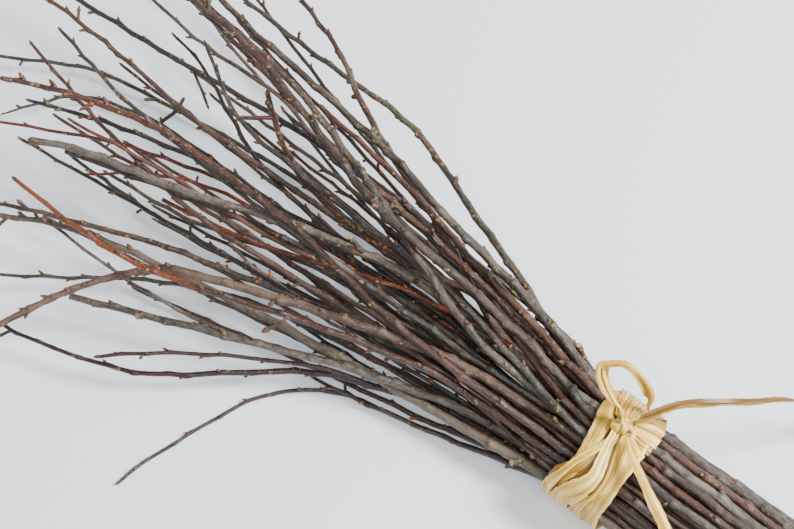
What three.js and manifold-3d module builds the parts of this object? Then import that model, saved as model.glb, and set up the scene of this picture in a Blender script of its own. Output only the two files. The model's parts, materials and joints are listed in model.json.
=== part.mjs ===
// A bundle of pruned fruit-tree twigs lying on its side, tied near the cut ends with raffia.
// Millimetres, +Z up. Tips point to -X, the cut butts to +X.
// The origin is the middle of the flat underside of the raffia tie, on the surface it lies on.

import * as THREE from "three";
import Module from "manifold-3d";
import { mergeVertices } from "three/addons/utils/BufferGeometryUtils.js";

// Raffia tie
const TIE_LENGTH = 27;
const TIE_HALF_WIDTH = 24.5;
const TIE_HALF_HEIGHT = 19.2;
const TIE_CENTRE_HEIGHT = 18.2;
const TIE_SQUARENESS = 2.5;
const RAFFIA_THICKNESS = 1.7;
const RIBBON_WIDTH = 4.6;
const RIBBON_THICKNESS = 1.3;
const KNOT_PLACE = [0, 6, 41.4];
const KNOT_SIZE = [14, 11, 7.4];
const KNOT_SIDES = 10;
const KNOT_RINGS = 6;
const TIE_CORNERS = 28;
const RIBBON_QUARTERS = 5;
const LOOP_STEPS = 14;
const TAIL_STEPS = 16;

// Twigs
const SIDES = 5;
const INNER_SIDES = 4;
const SPUR_SIDES = 4;
const BUTT_END = 92;
const BUTT_MIDDLE = 54;
const MIDDLE_SHARE = 0.5;
const TIE_EDGE = 16;
const TIE_HOLD = 22;
const STATION_SPACING = 50;
const TAPER = 0.8;
const UNEVENNESS = 0.05;
const BUTT_THICKENING = 1.08;
const BUTT_UNEVENNESS = 7;
const BUTT_SLANT = 1.5;
const BUTT_SPREAD = 0.06;
const BUTT_SINKING = 0.04;
const SPUR_LEAN = 0.7;
const SPUR_FOOT = 1.15;
const CLEARANCE = 0.34;
const SURFACE_CLEARANCE = 0.05;
const SETTLING_ROUNDS = 1500;
const SETTLED = 0.06;
const TIE_SLACK = 0.2;
const LENGTHWISE_GIVE = 0.3;
const SOFT_BENDING = 0.3;
const FIRM_BENDING = 0.04;
const SHIFT_PASSED_ON = 0.9;
const PARALLEL = 1e-9;
const TOUCHING = 1e-6;
const WELD = 1e-4;

const BARK = {
  grey: 0x7d756f,
  silver: 0x938a84,
  lilac: 0x7c6765,
  brown: 0x5e4a40,
  dark: 0x3f342d,
  dark_red: 0x4e2320,
  red: 0x8c3a28,
  red_brown: 0x6e4238,
  pink: 0x96625a,
  orange: 0xa5501c,
  olive: 0x6d6a55,
  green: 0x5d6146,
};
const BARK_ROUGHNESS = 0.72;
const RAFFIA_COLOUR = 0xe0c68e;
const RAFFIA_ROUGHNESS = 0.55;

// Each twig has its radius at the tie and at the tip, its place (y, z) in the tie, and its
// route read off the photograph in whole millimetres from the tip towards the tie.
// A spur is [x, length, radius, degrees round the twig from straight up].
const TWIGS = [
  {
    name: "twig_dark_red_low", bark: "dark_red", radius: [1.7, 0.8], place: [-17, 6],
    route: [
      [-235, -112, 14], [-217, -109, 14], [-192, -101, 13], [-167, -90, 12], [-149, -74, 11], [-116, -44, 10],
      [-65, -23, 8],
    ],
    fork: {
      radius: [1.0, 0.8], joins: -92,
      route: [[-182, -98, 22], [-174, -89, 22], [-151, -69, 20], [-113, -42, 15]],
    },
    spurs: [[-222, 5, 1.1, 130]],
  },
  {
    name: "twig_olive_low", bark: "brown", radius: [1.6, 0.7], place: [-19, 9],
    route: [[-117, -43, 4], [-102, -40, 3], [-61, -30, 4]],
    fork: {
      radius: [1.0, 0.7], joins: -86,
      route: [
        [-146, -126, 1], [-146, -115, 1.1], [-141, -102, 1.2], [-135, -78, 1.3], [-127, -58, 1.4], [-112, -44, 1.5],
        [-98, -37, 2],
      ],
    },
  },
  {
    name: "twig_lichen_spurred", bark: "grey", radius: [2.1, 1.1], place: [-19, 14],
    route: [
      [-262, -82, 30], [-249, -74, 29], [-236, -65, 28], [-216, -58, 27], [-189, -51, 25], [-141, -39, 21],
      [-82, -28, 17],
    ],
    spurs: [[-254, 6, 1.1, 120], [-138, 6, 1.5, 95], [-30, 3.6, 1.9, 60]],
  },
  {
    name: "twig_cut_lilac", bark: "lilac", radius: [2.1, 1.8], place: [0, 28],
    route: [[-186, -57, 42], [-150, -40, 39], [-114, -24, 36], [-68, -6, 32]],
    fork: { radius: [1.6, 1.2], route: [[-217, -116, 34], [-206, -86, 36], [-188, -60, 39]], joins: -170 },
  },
  {
    name: "twig_orange_shoot", bark: "orange", radius: [1.8, 0.9], place: [-13, 21],
    route: [
      [-248, -71, 56], [-231, -71, 54], [-194, -67, 48], [-166, -58, 45], [-121, -37, 38], [-70, -18, 29],
    ],
  },
  {
    name: "twig_cut_grey_low", bark: "silver", radius: [2.1, 1.5], place: [-14, 14],
    route: [[-210, -86, 22], [-167, -66, 20], [-104, -37, 18], [-58, -20, 16]],
    fork: { radius: [1.0, 0.7], route: [[-243, -67, 24], [-198, -66, 23], [-158, -60, 22]], joins: -140 },
    spurs: [[-145, 4, 1.3, -30]],
  },
  {
    name: "twig_dark_straight", bark: "green", radius: [1.6, 0.7], place: [-9, 9],
    route: [
      [-249, -96, 12], [-227, -80, 12], [-203, -60, 12], [-178, -44, 11], [-148, -33, 11], [-79, -20, 10],
    ],
  },
  {
    name: "twig_lilac_bud", bark: "lilac", radius: [1.8, 0.9], place: [-3, 16],
    route: [
      [-260, -79, 36], [-248, -71, 35], [-233, -65, 34], [-210, -53, 32], [-190, -44, 30], [-157, -34, 28],
      [-125, -21, 25], [-73, -8, 21],
    ],
    fork: { radius: [0.9, 0.6], route: [[-170, -30, 36], [-158, -32, 34], [-149, -31, 32]], joins: -132 },
    spurs: [[-247, 5, 1.2, -10]],
  },
  {
    name: "twig_red_orange_low", bark: "red", radius: [1.6, 0.6], place: [5, 17],
    route: [
      [-246, -41, 26], [-226, -22, 25], [-210, -14, 25], [-194, -8, 24], [-176, -7, 24], [-148, -1, 22],
      [-68, 5, 19],
    ],
  },
  {
    name: "twig_dark_budded", bark: "dark", radius: [1.7, 0.8], place: [8, 23],
    route: [[-281, -36, 42], [-271, -31, 41], [-244, -20, 39], [-204, -9, 36], [-159, -8, 33], [-85, -1, 27]],
    spurs: [[-196, 4, 1.3, 100]],
  },
  {
    name: "twig_pink_straight", bark: "pink", radius: [1.6, 0.7], place: [1, 17],
    route: [[-257, -33, 47], [-217, -25, 43], [-173, -19, 38], [-102, -4, 28]],
  },
  {
    name: "twig_stout_grey", bark: "silver", radius: [2.2, 1.5], place: [5, 29],
    route: [
      [-263, -51, 46], [-252, -43, 45], [-225, -34, 43], [-200, -28, 41], [-178, -19, 40], [-156, -10, 38],
      [-106, 3, 36], [-58, 2, 31],
    ],
    spurs: [[-126, 8, 1.5, 0]],
  },
  {
    name: "twig_cut_grey", bark: "grey", radius: [1.8, 1.3], place: [-5, 22],
    route: [[-253, -43, 38], [-215, -31, 37], [-167, -17, 33], [-104, -3, 28]],
    spurs: [[-141, 7, 1.2, -20]],
  },
  {
    name: "twig_green_lichened", bark: "olive", radius: [1.7, 0.8], place: [-8, 14],
    route: [[-260, -36, 22], [-210, -34, 20], [-160, -25, 18], [-104, -15, 16]],
  },
  {
    name: "twig_olive_grey", bark: "olive", radius: [1.6, 0.8], place: [0, 11],
    route: [[-245, -32, 18], [-203, -27, 17], [-151, -9, 15], [-79, -1, 13]],
  },
  {
    name: "twig_thin_dark", bark: "dark", radius: [1.4, 0.6], place: [-10, 5],
    route: [[-215, -32, 11], [-180, -26, 10], [-114, -10, 8]],
  },
  {
    name: "twig_rust_straight", bark: "red", radius: [1.6, 0.7], place: [6, 20],
    route: [[-289, -50, 36], [-244, -23, 33], [-200, -8, 31], [-141, 4, 27]],
  },
  {
    name: "twig_brown_steep", bark: "brown", radius: [1.8, 0.8], place: [-13, 16],
    route: [[-297, -17, 50], [-248, -26, 45], [-187, -31, 38], [-115, -21, 29]],
  },
  {
    name: "twig_silver_budded", bark: "silver", radius: [1.8, 0.8], place: [6, 26],
    route: [[-287, -8, 58], [-244, -15, 54], [-192, -15, 48], [-114, -10, 39], [-37, -3, 31]],
    spurs: [[-222, 4, 1.2, -20]],
  },
  {
    name: "twig_pink_budded", bark: "pink", radius: [1.9, 1.1], place: [-9, 26],
    route: [
      [-284, -42, 62], [-266, -30, 59], [-246, -22, 56], [-220, -14, 53], [-200, -12, 50], [-149, -10, 43],
      [-98, -15, 36],
    ],
    spurs: [[-250, 6, 1.3, 90], [-225, 4, 1.6, -20], [-272, 4, 1.2, -60]],
  },
  {
    name: "twig_lilac_long", bark: "lilac", radius: [1.9, 0.9], place: [9, 20],
    route: [[-318, 3, 54], [-274, 4, 49], [-239, 2, 46], [-219, 1, 43], [-171, 4, 38], [-98, 10, 30]],
    spurs: [[-290, 5, 1.0, -60]],
  },
  {
    name: "twig_dark_far", bark: "dark", radius: [1.9, 1.2], place: [19, 13],
    route: [[-332, 19, 31], [-260, 26, 27], [-204, 33, 24], [-152, 35, 22], [-64, 27, 17]],
    fork: { radius: [0.8, 0.6], route: [[-233, 20, 21], [-241, 24, 23]], joins: -249 },
    spurs: [[-205, 5, 1.2, 190]],
  },
  {
    name: "twig_dark_small", bark: "brown", radius: [1.7, 0.7], place: [9, 24],
    route: [[-257, 29, 44], [-238, 27, 43], [-215, 17, 41], [-187, 7, 38], [-152, 4, 35], [-112, 7, 32]],
  },
  {
    name: "twig_blur_green", bark: "green", radius: [1.6, 0.8], place: [11, 8],
    route: [[-333, -16, 10], [-294, 10, 7], [-238, 20, 4], [-184, 26, 3], [-82, 17, 4]],
    spurs: [[-262, 5, 1.0, 60]],
  },
  {
    name: "twig_upper_smooth", bark: "grey", radius: [2.1, 1.4], place: [14, 28],
    route: [
      [-278, 50, 70], [-221, 41, 63], [-202, 41, 60], [-169, 39, 55], [-137, 37, 50], [-114, 31, 47],
      [-94, 29, 43], [-51, 23, 36],
    ],
    spurs: [[-210, 3, 1.8, 200]],
  },
  {
    name: "twig_upper_rough", bark: "lilac", radius: [2.1, 1.5], place: [4, 32],
    route: [
      [-290, 30, 78], [-229, 34, 69], [-211, 32, 66], [-190, 28, 63], [-167, 22, 59], [-141, 15, 55],
      [-118, 11, 51], [-95, 12, 47], [-40, 9, 38],
    ],
    spurs: [[-238, 5, 1.6, -70], [-222, 5, 1.6, 60]],
  },
  {
    name: "twig_upper_middle", bark: "grey", radius: [2.0, 1.4], place: [1, 31],
    route: [
      [-268, 40, 67], [-212, 37, 61], [-189, 35, 58], [-165, 29, 55], [-134, 21, 50], [-117, 16, 48],
      [-66, 1, 40],
    ],
  },
  {
    name: "twig_upper_rust", bark: "red_brown", radius: [1.7, 1.1], place: [11, 26],
    route: [[-255, 40, 56], [-210, 34, 52], [-156, 25, 45], [-100, 22, 37]],
    spurs: [[-150, 4, 1.5, -40]],
  },
  {
    name: "twig_outer_olive", bark: "olive", radius: [2.2, 1.0], place: [21, 20],
    route: [
      [-296, 74, 27], [-229, 70, 25], [-196, 69, 25], [-164, 70, 24], [-144, 66, 23], [-104, 50, 22],
      [-77, 42, 22], [-56, 32, 21],
    ],
    spurs: [[-192, 3, 1.6, 180], [-53, 8, 1.7, 80]],
  },
  {
    name: "twig_outer_brown", bark: "lilac", radius: [2.0, 1.0], place: [6, 24],
    route: [
      [-262, 92, 43], [-213, 75, 39], [-198, 72, 38], [-186, 63, 37], [-154, 48, 35], [-116, 36, 32], [-66, 14, 28],
    ],
    spurs: [[-197, 3, 1.5, 180]],
  },
  {
    name: "twig_far_red", bark: "red", radius: [1.6, 0.7], place: [21, 13],
    route: [[-134, 30, 14], [-76, 37, 14], [-37, 33, 14]],
  },
  {
    name: "twig_far_grey", bark: "grey", radius: [2.0, 1.0], place: [19, 20],
    route: [[-140, 26, 32], [-94, 30, 28], [-44, 29, 22]],
    spurs: [[-34, 7, 1.7, 20]],
  },
  {
    name: "twig_red_brown_right", bark: "red_brown", radius: [2.0, 1.1], place: [9, 30],
    route: [[-185, 42, 39], [-149, 38, 37], [-118, 33, 35], [-93, 25, 34], [-72, 21, 33]],
  },
  {
    name: "twig_orange_lichened", bark: "red_brown", radius: [1.8, 1.2], place: [2, 32],
    route: [[-205, 31, 45], [-192, 22, 43], [-175, 11, 42], [-148, 6, 41], [-112, 7, 39], [-75, 16, 37]],
    fork: { radius: [1.1, 1.0], route: [[-204, 15, 45], [-200, 19, 44]], joins: -195 },
    spurs: [[-180, 5, 1.6, 120]],
  },
  {
    name: "twig_silver_middle", bark: "silver", radius: [1.8, 0.8], place: [-3, 32],
    route: [
      [-239, 30, 50], [-216, 17, 48], [-201, 10, 47], [-167, 9, 45], [-139, 8, 43], [-86, 7, 40], [-31, -2, 35],
    ],
  },
  {
    name: "twig_thin_olive", bark: "olive", radius: [1.5, 0.6], place: [5, 6],
    route: [[-304, -36, 12], [-299, -24, 11], [-290, -5, 8], [-274, 2, 6], [-254, 8, 5], [-187, 10, 4]],
    fork: { radius: [1.0, 0.9], route: [[-247, 19, 15], [-249, 13, 9]], joins: -252 },
  },
  {
    name: "twig_blur_grey", bark: "grey", radius: [1.7, 0.8], place: [16, 9],
    route: [
      [-305, 49, 22], [-260, 44, 21], [-236, 45, 20], [-211, 47, 19], [-190, 40, 18], [-164, 36, 17],
      [-75, 27, 13],
    ],
    fork: { radius: [0.9, 0.7], route: [[-282, 60, 28], [-263, 54, 26], [-240, 49, 22]], joins: -222 },
  },
  {
    name: "twig_red_loose", bark: "orange", radius: [1.4, 0.9], cut: [-54, 9, 37],
    route: [[-208, -30, 33], [-164, -21, 33], [-109, 0, 35], [-87, 5, 36]],
  },
];

// The twigs that show only in glimpses fan out evenly behind the others. Each forks near its
// butt, and the shorter shoot runs through the tie beside the longer one.
const INNER = {
  count: 17,
  barks: ["brown", "grey", "red_brown", "dark", "lilac"],
  fan: [-17, 15],
  reach: [190, 290],
  tipHeight: [4, 34],
  tipLean: 0.4,
  bow: 8,
  bowAt: 0.55,
  bowRise: 0.5,
  placeWidth: [-18, 16],
  placeHeight: [4, 27],
  radius: [1.7, 0.8],
};
const SHORT_SHOOT = { joins: 72, reach: [95, 190], turn: 4, rise: 7, apart: 4.4, radius: [1.6, 0.8] };

const wasm = await Module();
wasm.setup();

let seed = 7;
function chance(low = 0, high = 1) {
  seed = (seed * 16807) % 2147483647;
  return low + (high - low) * (seed / 2147483647);
}

function mix(low, high, share) {
  return low + (high - low) * share;
}

// The tip of an inner shoot and the middle of its bow.
function innerRoute(angle, reach, place, height) {
  const turn = THREE.MathUtils.degToRad(angle);
  const tip = [-reach * Math.cos(turn), place[1] * INNER.tipLean + reach * Math.sin(turn), height];
  const bow = chance(-INNER.bow, INNER.bow);
  const middle = [tip[0] * INNER.bowAt, mix(place[0], tip[1], INNER.bowAt) + bow, mix(place[1], height, INNER.bowRise)];
  return [tip, middle];
}

function innerTwigs() {
  const twigs = [];
  for (let i = 0; i < INNER.count; i += 1) {
    const share = i / (INNER.count - 1);
    const angle = mix(...INNER.fan, share);
    const height = mix(...INNER.tipHeight, (i * 5 % INNER.count) / INNER.count);
    const place = [
      mix(...INNER.placeWidth, share),
      mix(...INNER.placeHeight, (i * 3 % INNER.count) / INNER.count),
    ];
    const round = chance(0, 2 * Math.PI);
    const beside = [
      place[0] + SHORT_SHOOT.apart * Math.cos(round),
      place[1] + SHORT_SHOOT.apart * Math.sin(round),
    ];
    const besideAngle = angle + chance(-SHORT_SHOOT.turn, SHORT_SHOOT.turn);
    const besideHeight = height + chance(0, SHORT_SHOOT.rise);
    twigs.push({
      name: `twig_inner_${String(i + 1).padStart(2, "0")}`,
      bark: INNER.barks[i % INNER.barks.length],
      radius: INNER.radius,
      sides: INNER_SIDES,
      place,
      route: innerRoute(angle, mix(...INNER.reach, chance()), place, height),
      fork: {
        radius: SHORT_SHOOT.radius,
        joins: SHORT_SHOOT.joins,
        place: beside,
        route: innerRoute(besideAngle, mix(...SHORT_SHOOT.reach, chance()), beside, besideHeight),
      },
    });
  }
  return twigs;
}

// A strand is a chain of stations from the thick end to the tip. It remembers where it was
// meant to lie and is pushed from there by its neighbours.
function makeStrand(points, radii, owner) {
  return {
    home: points.map((point) => point.clone()),
    at: points,
    radii,
    owner,
    base: null,
  };
}

// Where a shoot passes the end of the tie, some way from it towards the butt.
function buttPoint([y, z], slant, x, share) {
  return new THREE.Vector3(
    x,
    y * (1 + BUTT_SPREAD * share) + slant * share,
    z * (1 - BUTT_SINKING * share),
  );
}

function tiePoints(place, slant) {
  return [
    buttPoint(place, slant, BUTT_MIDDLE, MIDDLE_SHARE),
    buttPoint(place, slant, TIE_EDGE, 0),
    buttPoint(place, slant, -TIE_EDGE, 0),
  ];
}

// The stations of a shoot: those at its start as they are, then the points of its route, with
// more on the curve through them where they lie far apart.
function shootStations(start, route) {
  const outward = route.map((point) => new THREE.Vector3(...point)).reverse();
  const passes = [start[start.length - 1], ...outward];
  const curve = new THREE.CatmullRomCurve3(passes, false, "centripetal");
  const stations = [...start];
  outward.forEach((point, i) => {
    const steps = Math.max(1, Math.round(point.distanceTo(passes[i]) / STATION_SPACING));
    for (let step = 1; step <= steps; step += 1) {
      stations.push(curve.getPoint((i + step / steps) / outward.length));
    }
  });
  return stations;
}

function mainStrand(twig) {
  const start = [];
  if (twig.place) {
    const slant = chance(-BUTT_SLANT, BUTT_SLANT);
    const end = BUTT_END + chance(-BUTT_UNEVENNESS, BUTT_UNEVENNESS);
    start.push(buttPoint(twig.place, slant, end, 1), ...tiePoints(twig.place, slant));
  } else {
    start.push(new THREE.Vector3(...twig.cut));
  }
  const points = shootStations(start, twig.route);
  const steps = points.length - start.length;
  const radii = points.map((point, i) => {
    const outer = Math.max(0, i - start.length + 1) / steps;
    const thickening = i === 0 && twig.place ? BUTT_THICKENING : 1;
    const uneven = chance(1 - UNEVENNESS, 1 + UNEVENNESS);
    return mix(twig.radius[0], twig.radius[1], outer ** TAPER) * thickening * uneven;
  });
  return makeStrand(points, radii, twig);
}

// The station pair of a strand that spans a given x, and how far along it that x lies.
function findJoint(strand, x) {
  for (let i = 0; i < strand.home.length - 1; i += 1) {
    const [near, far] = [strand.home[i].x, strand.home[i + 1].x];
    if (near >= x && far <= x) return { strand, index: i, share: (near - x) / (near - far) };
  }
  throw new Error(`${strand.owner.name} does not reach x ${x}`);
}

function jointPoint(joint, list) {
  return list[joint.index].clone().lerp(list[joint.index + 1], joint.share);
}

function forkStrand(main, fork) {
  const base = findJoint(main, fork.joins);
  const start = [jointPoint(base, main.home)];
  if (fork.place) start.push(...tiePoints(fork.place, 0));
  const points = shootStations(start, fork.route);
  const radii = points.map((_, i) => mix(fork.radius[0], fork.radius[1], i / (points.length - 1)));
  return { ...makeStrand(points, radii, main.owner), base };
}

function spurStrand(main, [x, length, radius, turn]) {
  const base = findJoint(main, x);
  const root = jointPoint(base, main.home);
  const along = main.home[base.index + 1].clone().sub(main.home[base.index]).normalize();
  const side = new THREE.Vector3(0, 0, 1).cross(along).normalize();
  const up = along.clone().cross(side);
  const angle = THREE.MathUtils.degToRad(turn);
  const lean = along.multiplyScalar(SPUR_LEAN);
  const out = up.multiplyScalar(Math.cos(angle)).addScaledVector(side, Math.sin(angle)).add(lean).normalize();
  const wood = mix(...[0, 1].map((k) => main.radii[base.index + k]), base.share);
  const tip = root.clone().addScaledVector(out, length + wood);
  return { ...makeStrand([root, tip], [radius * SPUR_FOOT, radius], main.owner), base, rigid: true };
}

// Closest points of two segments, as shares along each.
function closestShares(p, q, r, s) {
  const d1 = [q.x - p.x, q.y - p.y, q.z - p.z];
  const d2 = [s.x - r.x, s.y - r.y, s.z - r.z];
  const w = [p.x - r.x, p.y - r.y, p.z - r.z];
  const a = d1[0] * d1[0] + d1[1] * d1[1] + d1[2] * d1[2];
  const e = d2[0] * d2[0] + d2[1] * d2[1] + d2[2] * d2[2];
  const f = d2[0] * w[0] + d2[1] * w[1] + d2[2] * w[2];
  const c = d1[0] * w[0] + d1[1] * w[1] + d1[2] * w[2];
  const b = d1[0] * d2[0] + d1[1] * d2[1] + d1[2] * d2[2];
  const bottom = a * e - b * b;
  let first = bottom > PARALLEL ? Math.min(1, Math.max(0, (b * f - c * e) / bottom)) : 0.5;
  let second = (b * first + f) / e;
  if (second < 0) {
    second = 0;
    first = Math.min(1, Math.max(0, -c / a));
  } else if (second > 1) {
    second = 1;
    first = Math.min(1, Math.max(0, (b - c) / a));
  }
  return [first, second];
}

function push(strand, index, share, x, y, z) {
  if (strand.rigid) {
    const { strand: parent, index: place, share: part } = strand.base;
    push(parent, place, part, x, y, z);
    return;
  }
  const near = 1 - share;
  const scale = 1 / (near * near + share * share);
  const first = strand.at[index];
  const second = strand.at[index + 1];
  first.set(first.x, first.y + y * near * scale, first.z + z * near * scale);
  second.set(second.x, second.y + y * share * scale, second.z + z * share * scale);
  first.x += x * near * scale * LENGTHWISE_GIVE;
  second.x += x * share * scale * LENGTHWISE_GIVE;
}

// Moves two strands apart where their rounds come closer than the clearance.
function separate(one, two, sameTwig) {
  let worst = 0;
  for (let i = 0; i < one.at.length - 1; i += 1) {
    const p = one.at[i];
    const q = one.at[i + 1];
    const reach = 2 * (one.radii[i] + 2);
    const low = Math.min(p.x, q.x) - reach;
    const high = Math.max(p.x, q.x) + reach;
    for (let j = 0; j < two.at.length - 1; j += 1) {
      if (sameTwig && j < 2) continue;
      const r = two.at[j];
      const s = two.at[j + 1];
      if (Math.min(r.x, s.x) > high || Math.max(r.x, s.x) < low) continue;
      const [a, b] = closestShares(p, q, r, s);
      const x = p.x + (q.x - p.x) * a - r.x - (s.x - r.x) * b;
      const y = p.y + (q.y - p.y) * a - r.y - (s.y - r.y) * b;
      const z = p.z + (q.z - p.z) * a - r.z - (s.z - r.z) * b;
      const wanted = mix(one.radii[i], one.radii[i + 1], a) + mix(two.radii[j], two.radii[j + 1], b) + CLEARANCE;
      const apart = Math.hypot(x, y, z);
      if (apart >= wanted) continue;
      worst = Math.max(worst, wanted - apart);
      const half = apart > TOUCHING ? (wanted - apart) / apart / 2 : 0;
      push(one, i, a, x * half, y * half, z * half);
      push(two, j, b, -x * half, -y * half, -z * half);
    }
  }
  return worst;
}

// Spreads what moved a station over its neighbours, so that a twig bends as one. Less of it is
// passed on from each station to the next, so that the far end keeps to its route.
function stiffen(strand, amount) {
  const moved = strand.at.map((point, i) => point.clone().sub(strand.home[i]));
  const last = moved.length - 1;
  for (let i = strand.base ? 1 : 0; i <= last; i += 1) {
    const before = moved[Math.max(0, i - 1)];
    const after = moved[Math.min(last, i + 1)];
    const even = before.clone().add(after).multiplyScalar(SHIFT_PASSED_ON / 2);
    strand.at[i].copy(strand.home[i]).add(moved[i].clone().lerp(even, amount));
  }
}

function followBase(strand) {
  const root = jointPoint(strand.base, strand.base.strand.at);
  const step = root.clone().sub(strand.at[0]);
  strand.at[0].copy(root);
  if (strand.rigid) strand.at[1].add(step);
}

function keepInTie(strand) {
  const inset = RAFFIA_THICKNESS + CLEARANCE + TIE_SLACK;
  strand.at.forEach((point, i) => {
    if (Math.abs(point.x) > TIE_HOLD) return;
    const room = inset + strand.radii[i];
    const across = Math.abs(point.y) / (TIE_HALF_WIDTH - room);
    const upright = Math.abs(point.z - TIE_CENTRE_HEIGHT) / (TIE_HALF_HEIGHT - room);
    const out = across ** TIE_SQUARENESS + upright ** TIE_SQUARENESS;
    if (out > 1) {
      const scale = out ** (-1 / TIE_SQUARENESS);
      point.y *= scale;
      point.z = TIE_CENTRE_HEIGHT + (point.z - TIE_CENTRE_HEIGHT) * scale;
    }
    point.z = Math.max(point.z, room);
  });
}

function keepAboveSurface(strand) {
  strand.at.forEach((point, i) => {
    point.z = Math.max(point.z, strand.radii[i] + SURFACE_CLEARANCE);
  });
}

// Lets the twigs find their places: each lies as near its route as its neighbours allow.
function settle(strands) {
  for (let round = 0; round < SETTLING_ROUNDS; round += 1) {
    let worst = 0;
    for (let i = 0; i < strands.length; i += 1) {
      for (let j = i + 1; j < strands.length; j += 1) {
        const sameTwig = strands[i].owner === strands[j].owner;
        if (sameTwig && strands[j].rigid) continue;
        worst = Math.max(worst, separate(strands[i], strands[j], sameTwig));
      }
    }
    const softness = round < SETTLING_ROUNDS / 2 ? SOFT_BENDING : FIRM_BENDING;
    for (const strand of strands) {
      if (!strand.rigid) stiffen(strand, softness);
    }
    for (const strand of strands) {
      if (!strand.rigid) keepInTie(strand);
      if (!strand.rigid) keepAboveSurface(strand);
      if (strand.base) followBase(strand);
    }
    if (worst < SETTLED) break;
  }
}

// A closed round rod whose rings stand at the stations.
function rodGeometry(points, radii, sides) {
  const rings = points.length - 1;
  const rod = new THREE.CylinderGeometry(1, 1, 1, sides, rings);
  rod.deleteAttribute("uv");
  rod.deleteAttribute("normal");
  const along = points.map((point, i) => {
    const next = points[Math.min(rings, i + 1)];
    return next.clone().sub(points[Math.max(0, i - 1)]).normalize();
  });
  const up = new THREE.Vector3(0, 0, 1);
  const place = rod.getAttribute("position");
  const corner = new THREE.Vector3();
  for (let k = 0; k < place.count; k += 1) {
    corner.fromBufferAttribute(place, k);
    const ring = Math.round((corner.y + 0.5) * rings);
    const side = along[ring].clone().cross(up).normalize();
    const over = side.clone().cross(along[ring]);
    const put = points[ring].clone();
    put.addScaledVector(side, corner.x * radii[ring]);
    put.addScaledVector(over, corner.z * radii[ring]);
    place.setXYZ(k, put.x, put.y, put.z);
  }
  return rod;
}

function toSolid(geometry) {
  const bare = geometry.clone();
  bare.deleteAttribute("normal");
  bare.deleteAttribute("uv");
  const merged = mergeVertices(bare, WELD);
  return new wasm.Manifold(new wasm.Mesh({
    numProp: 3,
    vertProperties: new Float32Array(merged.getAttribute("position").array),
    triVerts: new Uint32Array(merged.index.array),
  }));
}

function fromSolid(solid) {
  const mesh = solid.getMesh();
  const geometry = new THREE.BufferGeometry();
  geometry.setAttribute("position", new THREE.BufferAttribute(new Float32Array(mesh.vertProperties), 3));
  geometry.setIndex(new THREE.BufferAttribute(new Uint32Array(mesh.triVerts), 1));
  geometry.computeVertexNormals();
  return geometry;
}

function addMesh(group, name, geometry, colour, roughness) {
  const material = new THREE.MeshStandardMaterial({ color: colour, roughness, metalness: 0 });
  const mesh = new THREE.Mesh(geometry, material);
  mesh.name = name;
  group.add(mesh);
}

// One twig with its fork and spurs grown together.
function twigGeometry(strands) {
  const solids = strands.map((strand) => {
    const sides = strand.rigid ? SPUR_SIDES : strand.owner.sides ?? SIDES;
    return toSolid(rodGeometry(strand.at, strand.radii, sides));
  });
  return fromSolid(solids.reduce((whole, part) => whole.add(part)));
}

function addTwigs(group) {
  const twigs = [...TWIGS, ...innerTwigs()];
  const strands = [];
  for (const twig of twigs) {
    const main = mainStrand(twig);
    strands.push(main);
    if (twig.fork) strands.push(forkStrand(main, twig.fork));
    for (const spur of twig.spurs ?? []) strands.push(spurStrand(main, spur));
  }
  settle(strands);
  for (const twig of twigs) {
    const own = strands.filter((strand) => strand.owner === twig);
    addMesh(group, twig.name, twigGeometry(own), BARK[twig.bark], BARK_ROUGHNESS);
  }
}

// Outline of the tie across the bundle, inset from its outside, flat where it rests.
function tieOutline(inset, count) {
  const power = 2 / TIE_SQUARENESS;
  const points = [];
  for (let i = 0; i < count; i += 1) {
    const angle = (i / count) * 2 * Math.PI;
    const [cosine, sine] = [Math.cos(angle), Math.sin(angle)];
    const y = Math.sign(cosine) * Math.abs(cosine) ** power * (TIE_HALF_WIDTH - inset);
    const z = TIE_CENTRE_HEIGHT + Math.sign(sine) * Math.abs(sine) ** power * (TIE_HALF_HEIGHT - inset);
    points.push(new THREE.Vector2(y, Math.max(z, inset)));
  }
  return points;
}

function addWrap(group) {
  const shape = new THREE.Shape(tieOutline(0, TIE_CORNERS));
  shape.holes.push(new THREE.Path(tieOutline(RAFFIA_THICKNESS, TIE_CORNERS)));
  const wrap = new THREE.ExtrudeGeometry(shape, { depth: TIE_LENGTH, bevelEnabled: false, steps: 1 });
  wrap.translate(0, 0, -TIE_LENGTH / 2);
  const turn = new THREE.Matrix4().makeBasis(
    new THREE.Vector3(0, 1, 0),
    new THREE.Vector3(0, 0, 1),
    new THREE.Vector3(1, 0, 0),
  );
  wrap.applyMatrix4(turn);
  addMesh(group, "raffia_wrap", wrap, RAFFIA_COLOUR, RAFFIA_ROUGHNESS);
}

function addKnot(group) {
  const knot = new THREE.SphereGeometry(0.5, KNOT_SIDES, KNOT_RINGS);
  knot.scale(...KNOT_SIZE);
  knot.translate(...KNOT_PLACE);
  addMesh(group, "raffia_knot", knot, RAFFIA_COLOUR, RAFFIA_ROUGHNESS);
}

// A flat strip of raffia along a route.
function ribbonGeometry(route, steps) {
  const section = new THREE.Shape();
  section.absellipse(0, 0, RIBBON_THICKNESS / 2, RIBBON_WIDTH / 2, 0, Math.PI * 2);
  const path = new THREE.CatmullRomCurve3(route.map((point) => new THREE.Vector3(...point)));
  return new THREE.ExtrudeGeometry(section, {
    extrudePath: path,
    steps,
    curveSegments: RIBBON_QUARTERS,
    bevelEnabled: false,
  });
}

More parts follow.
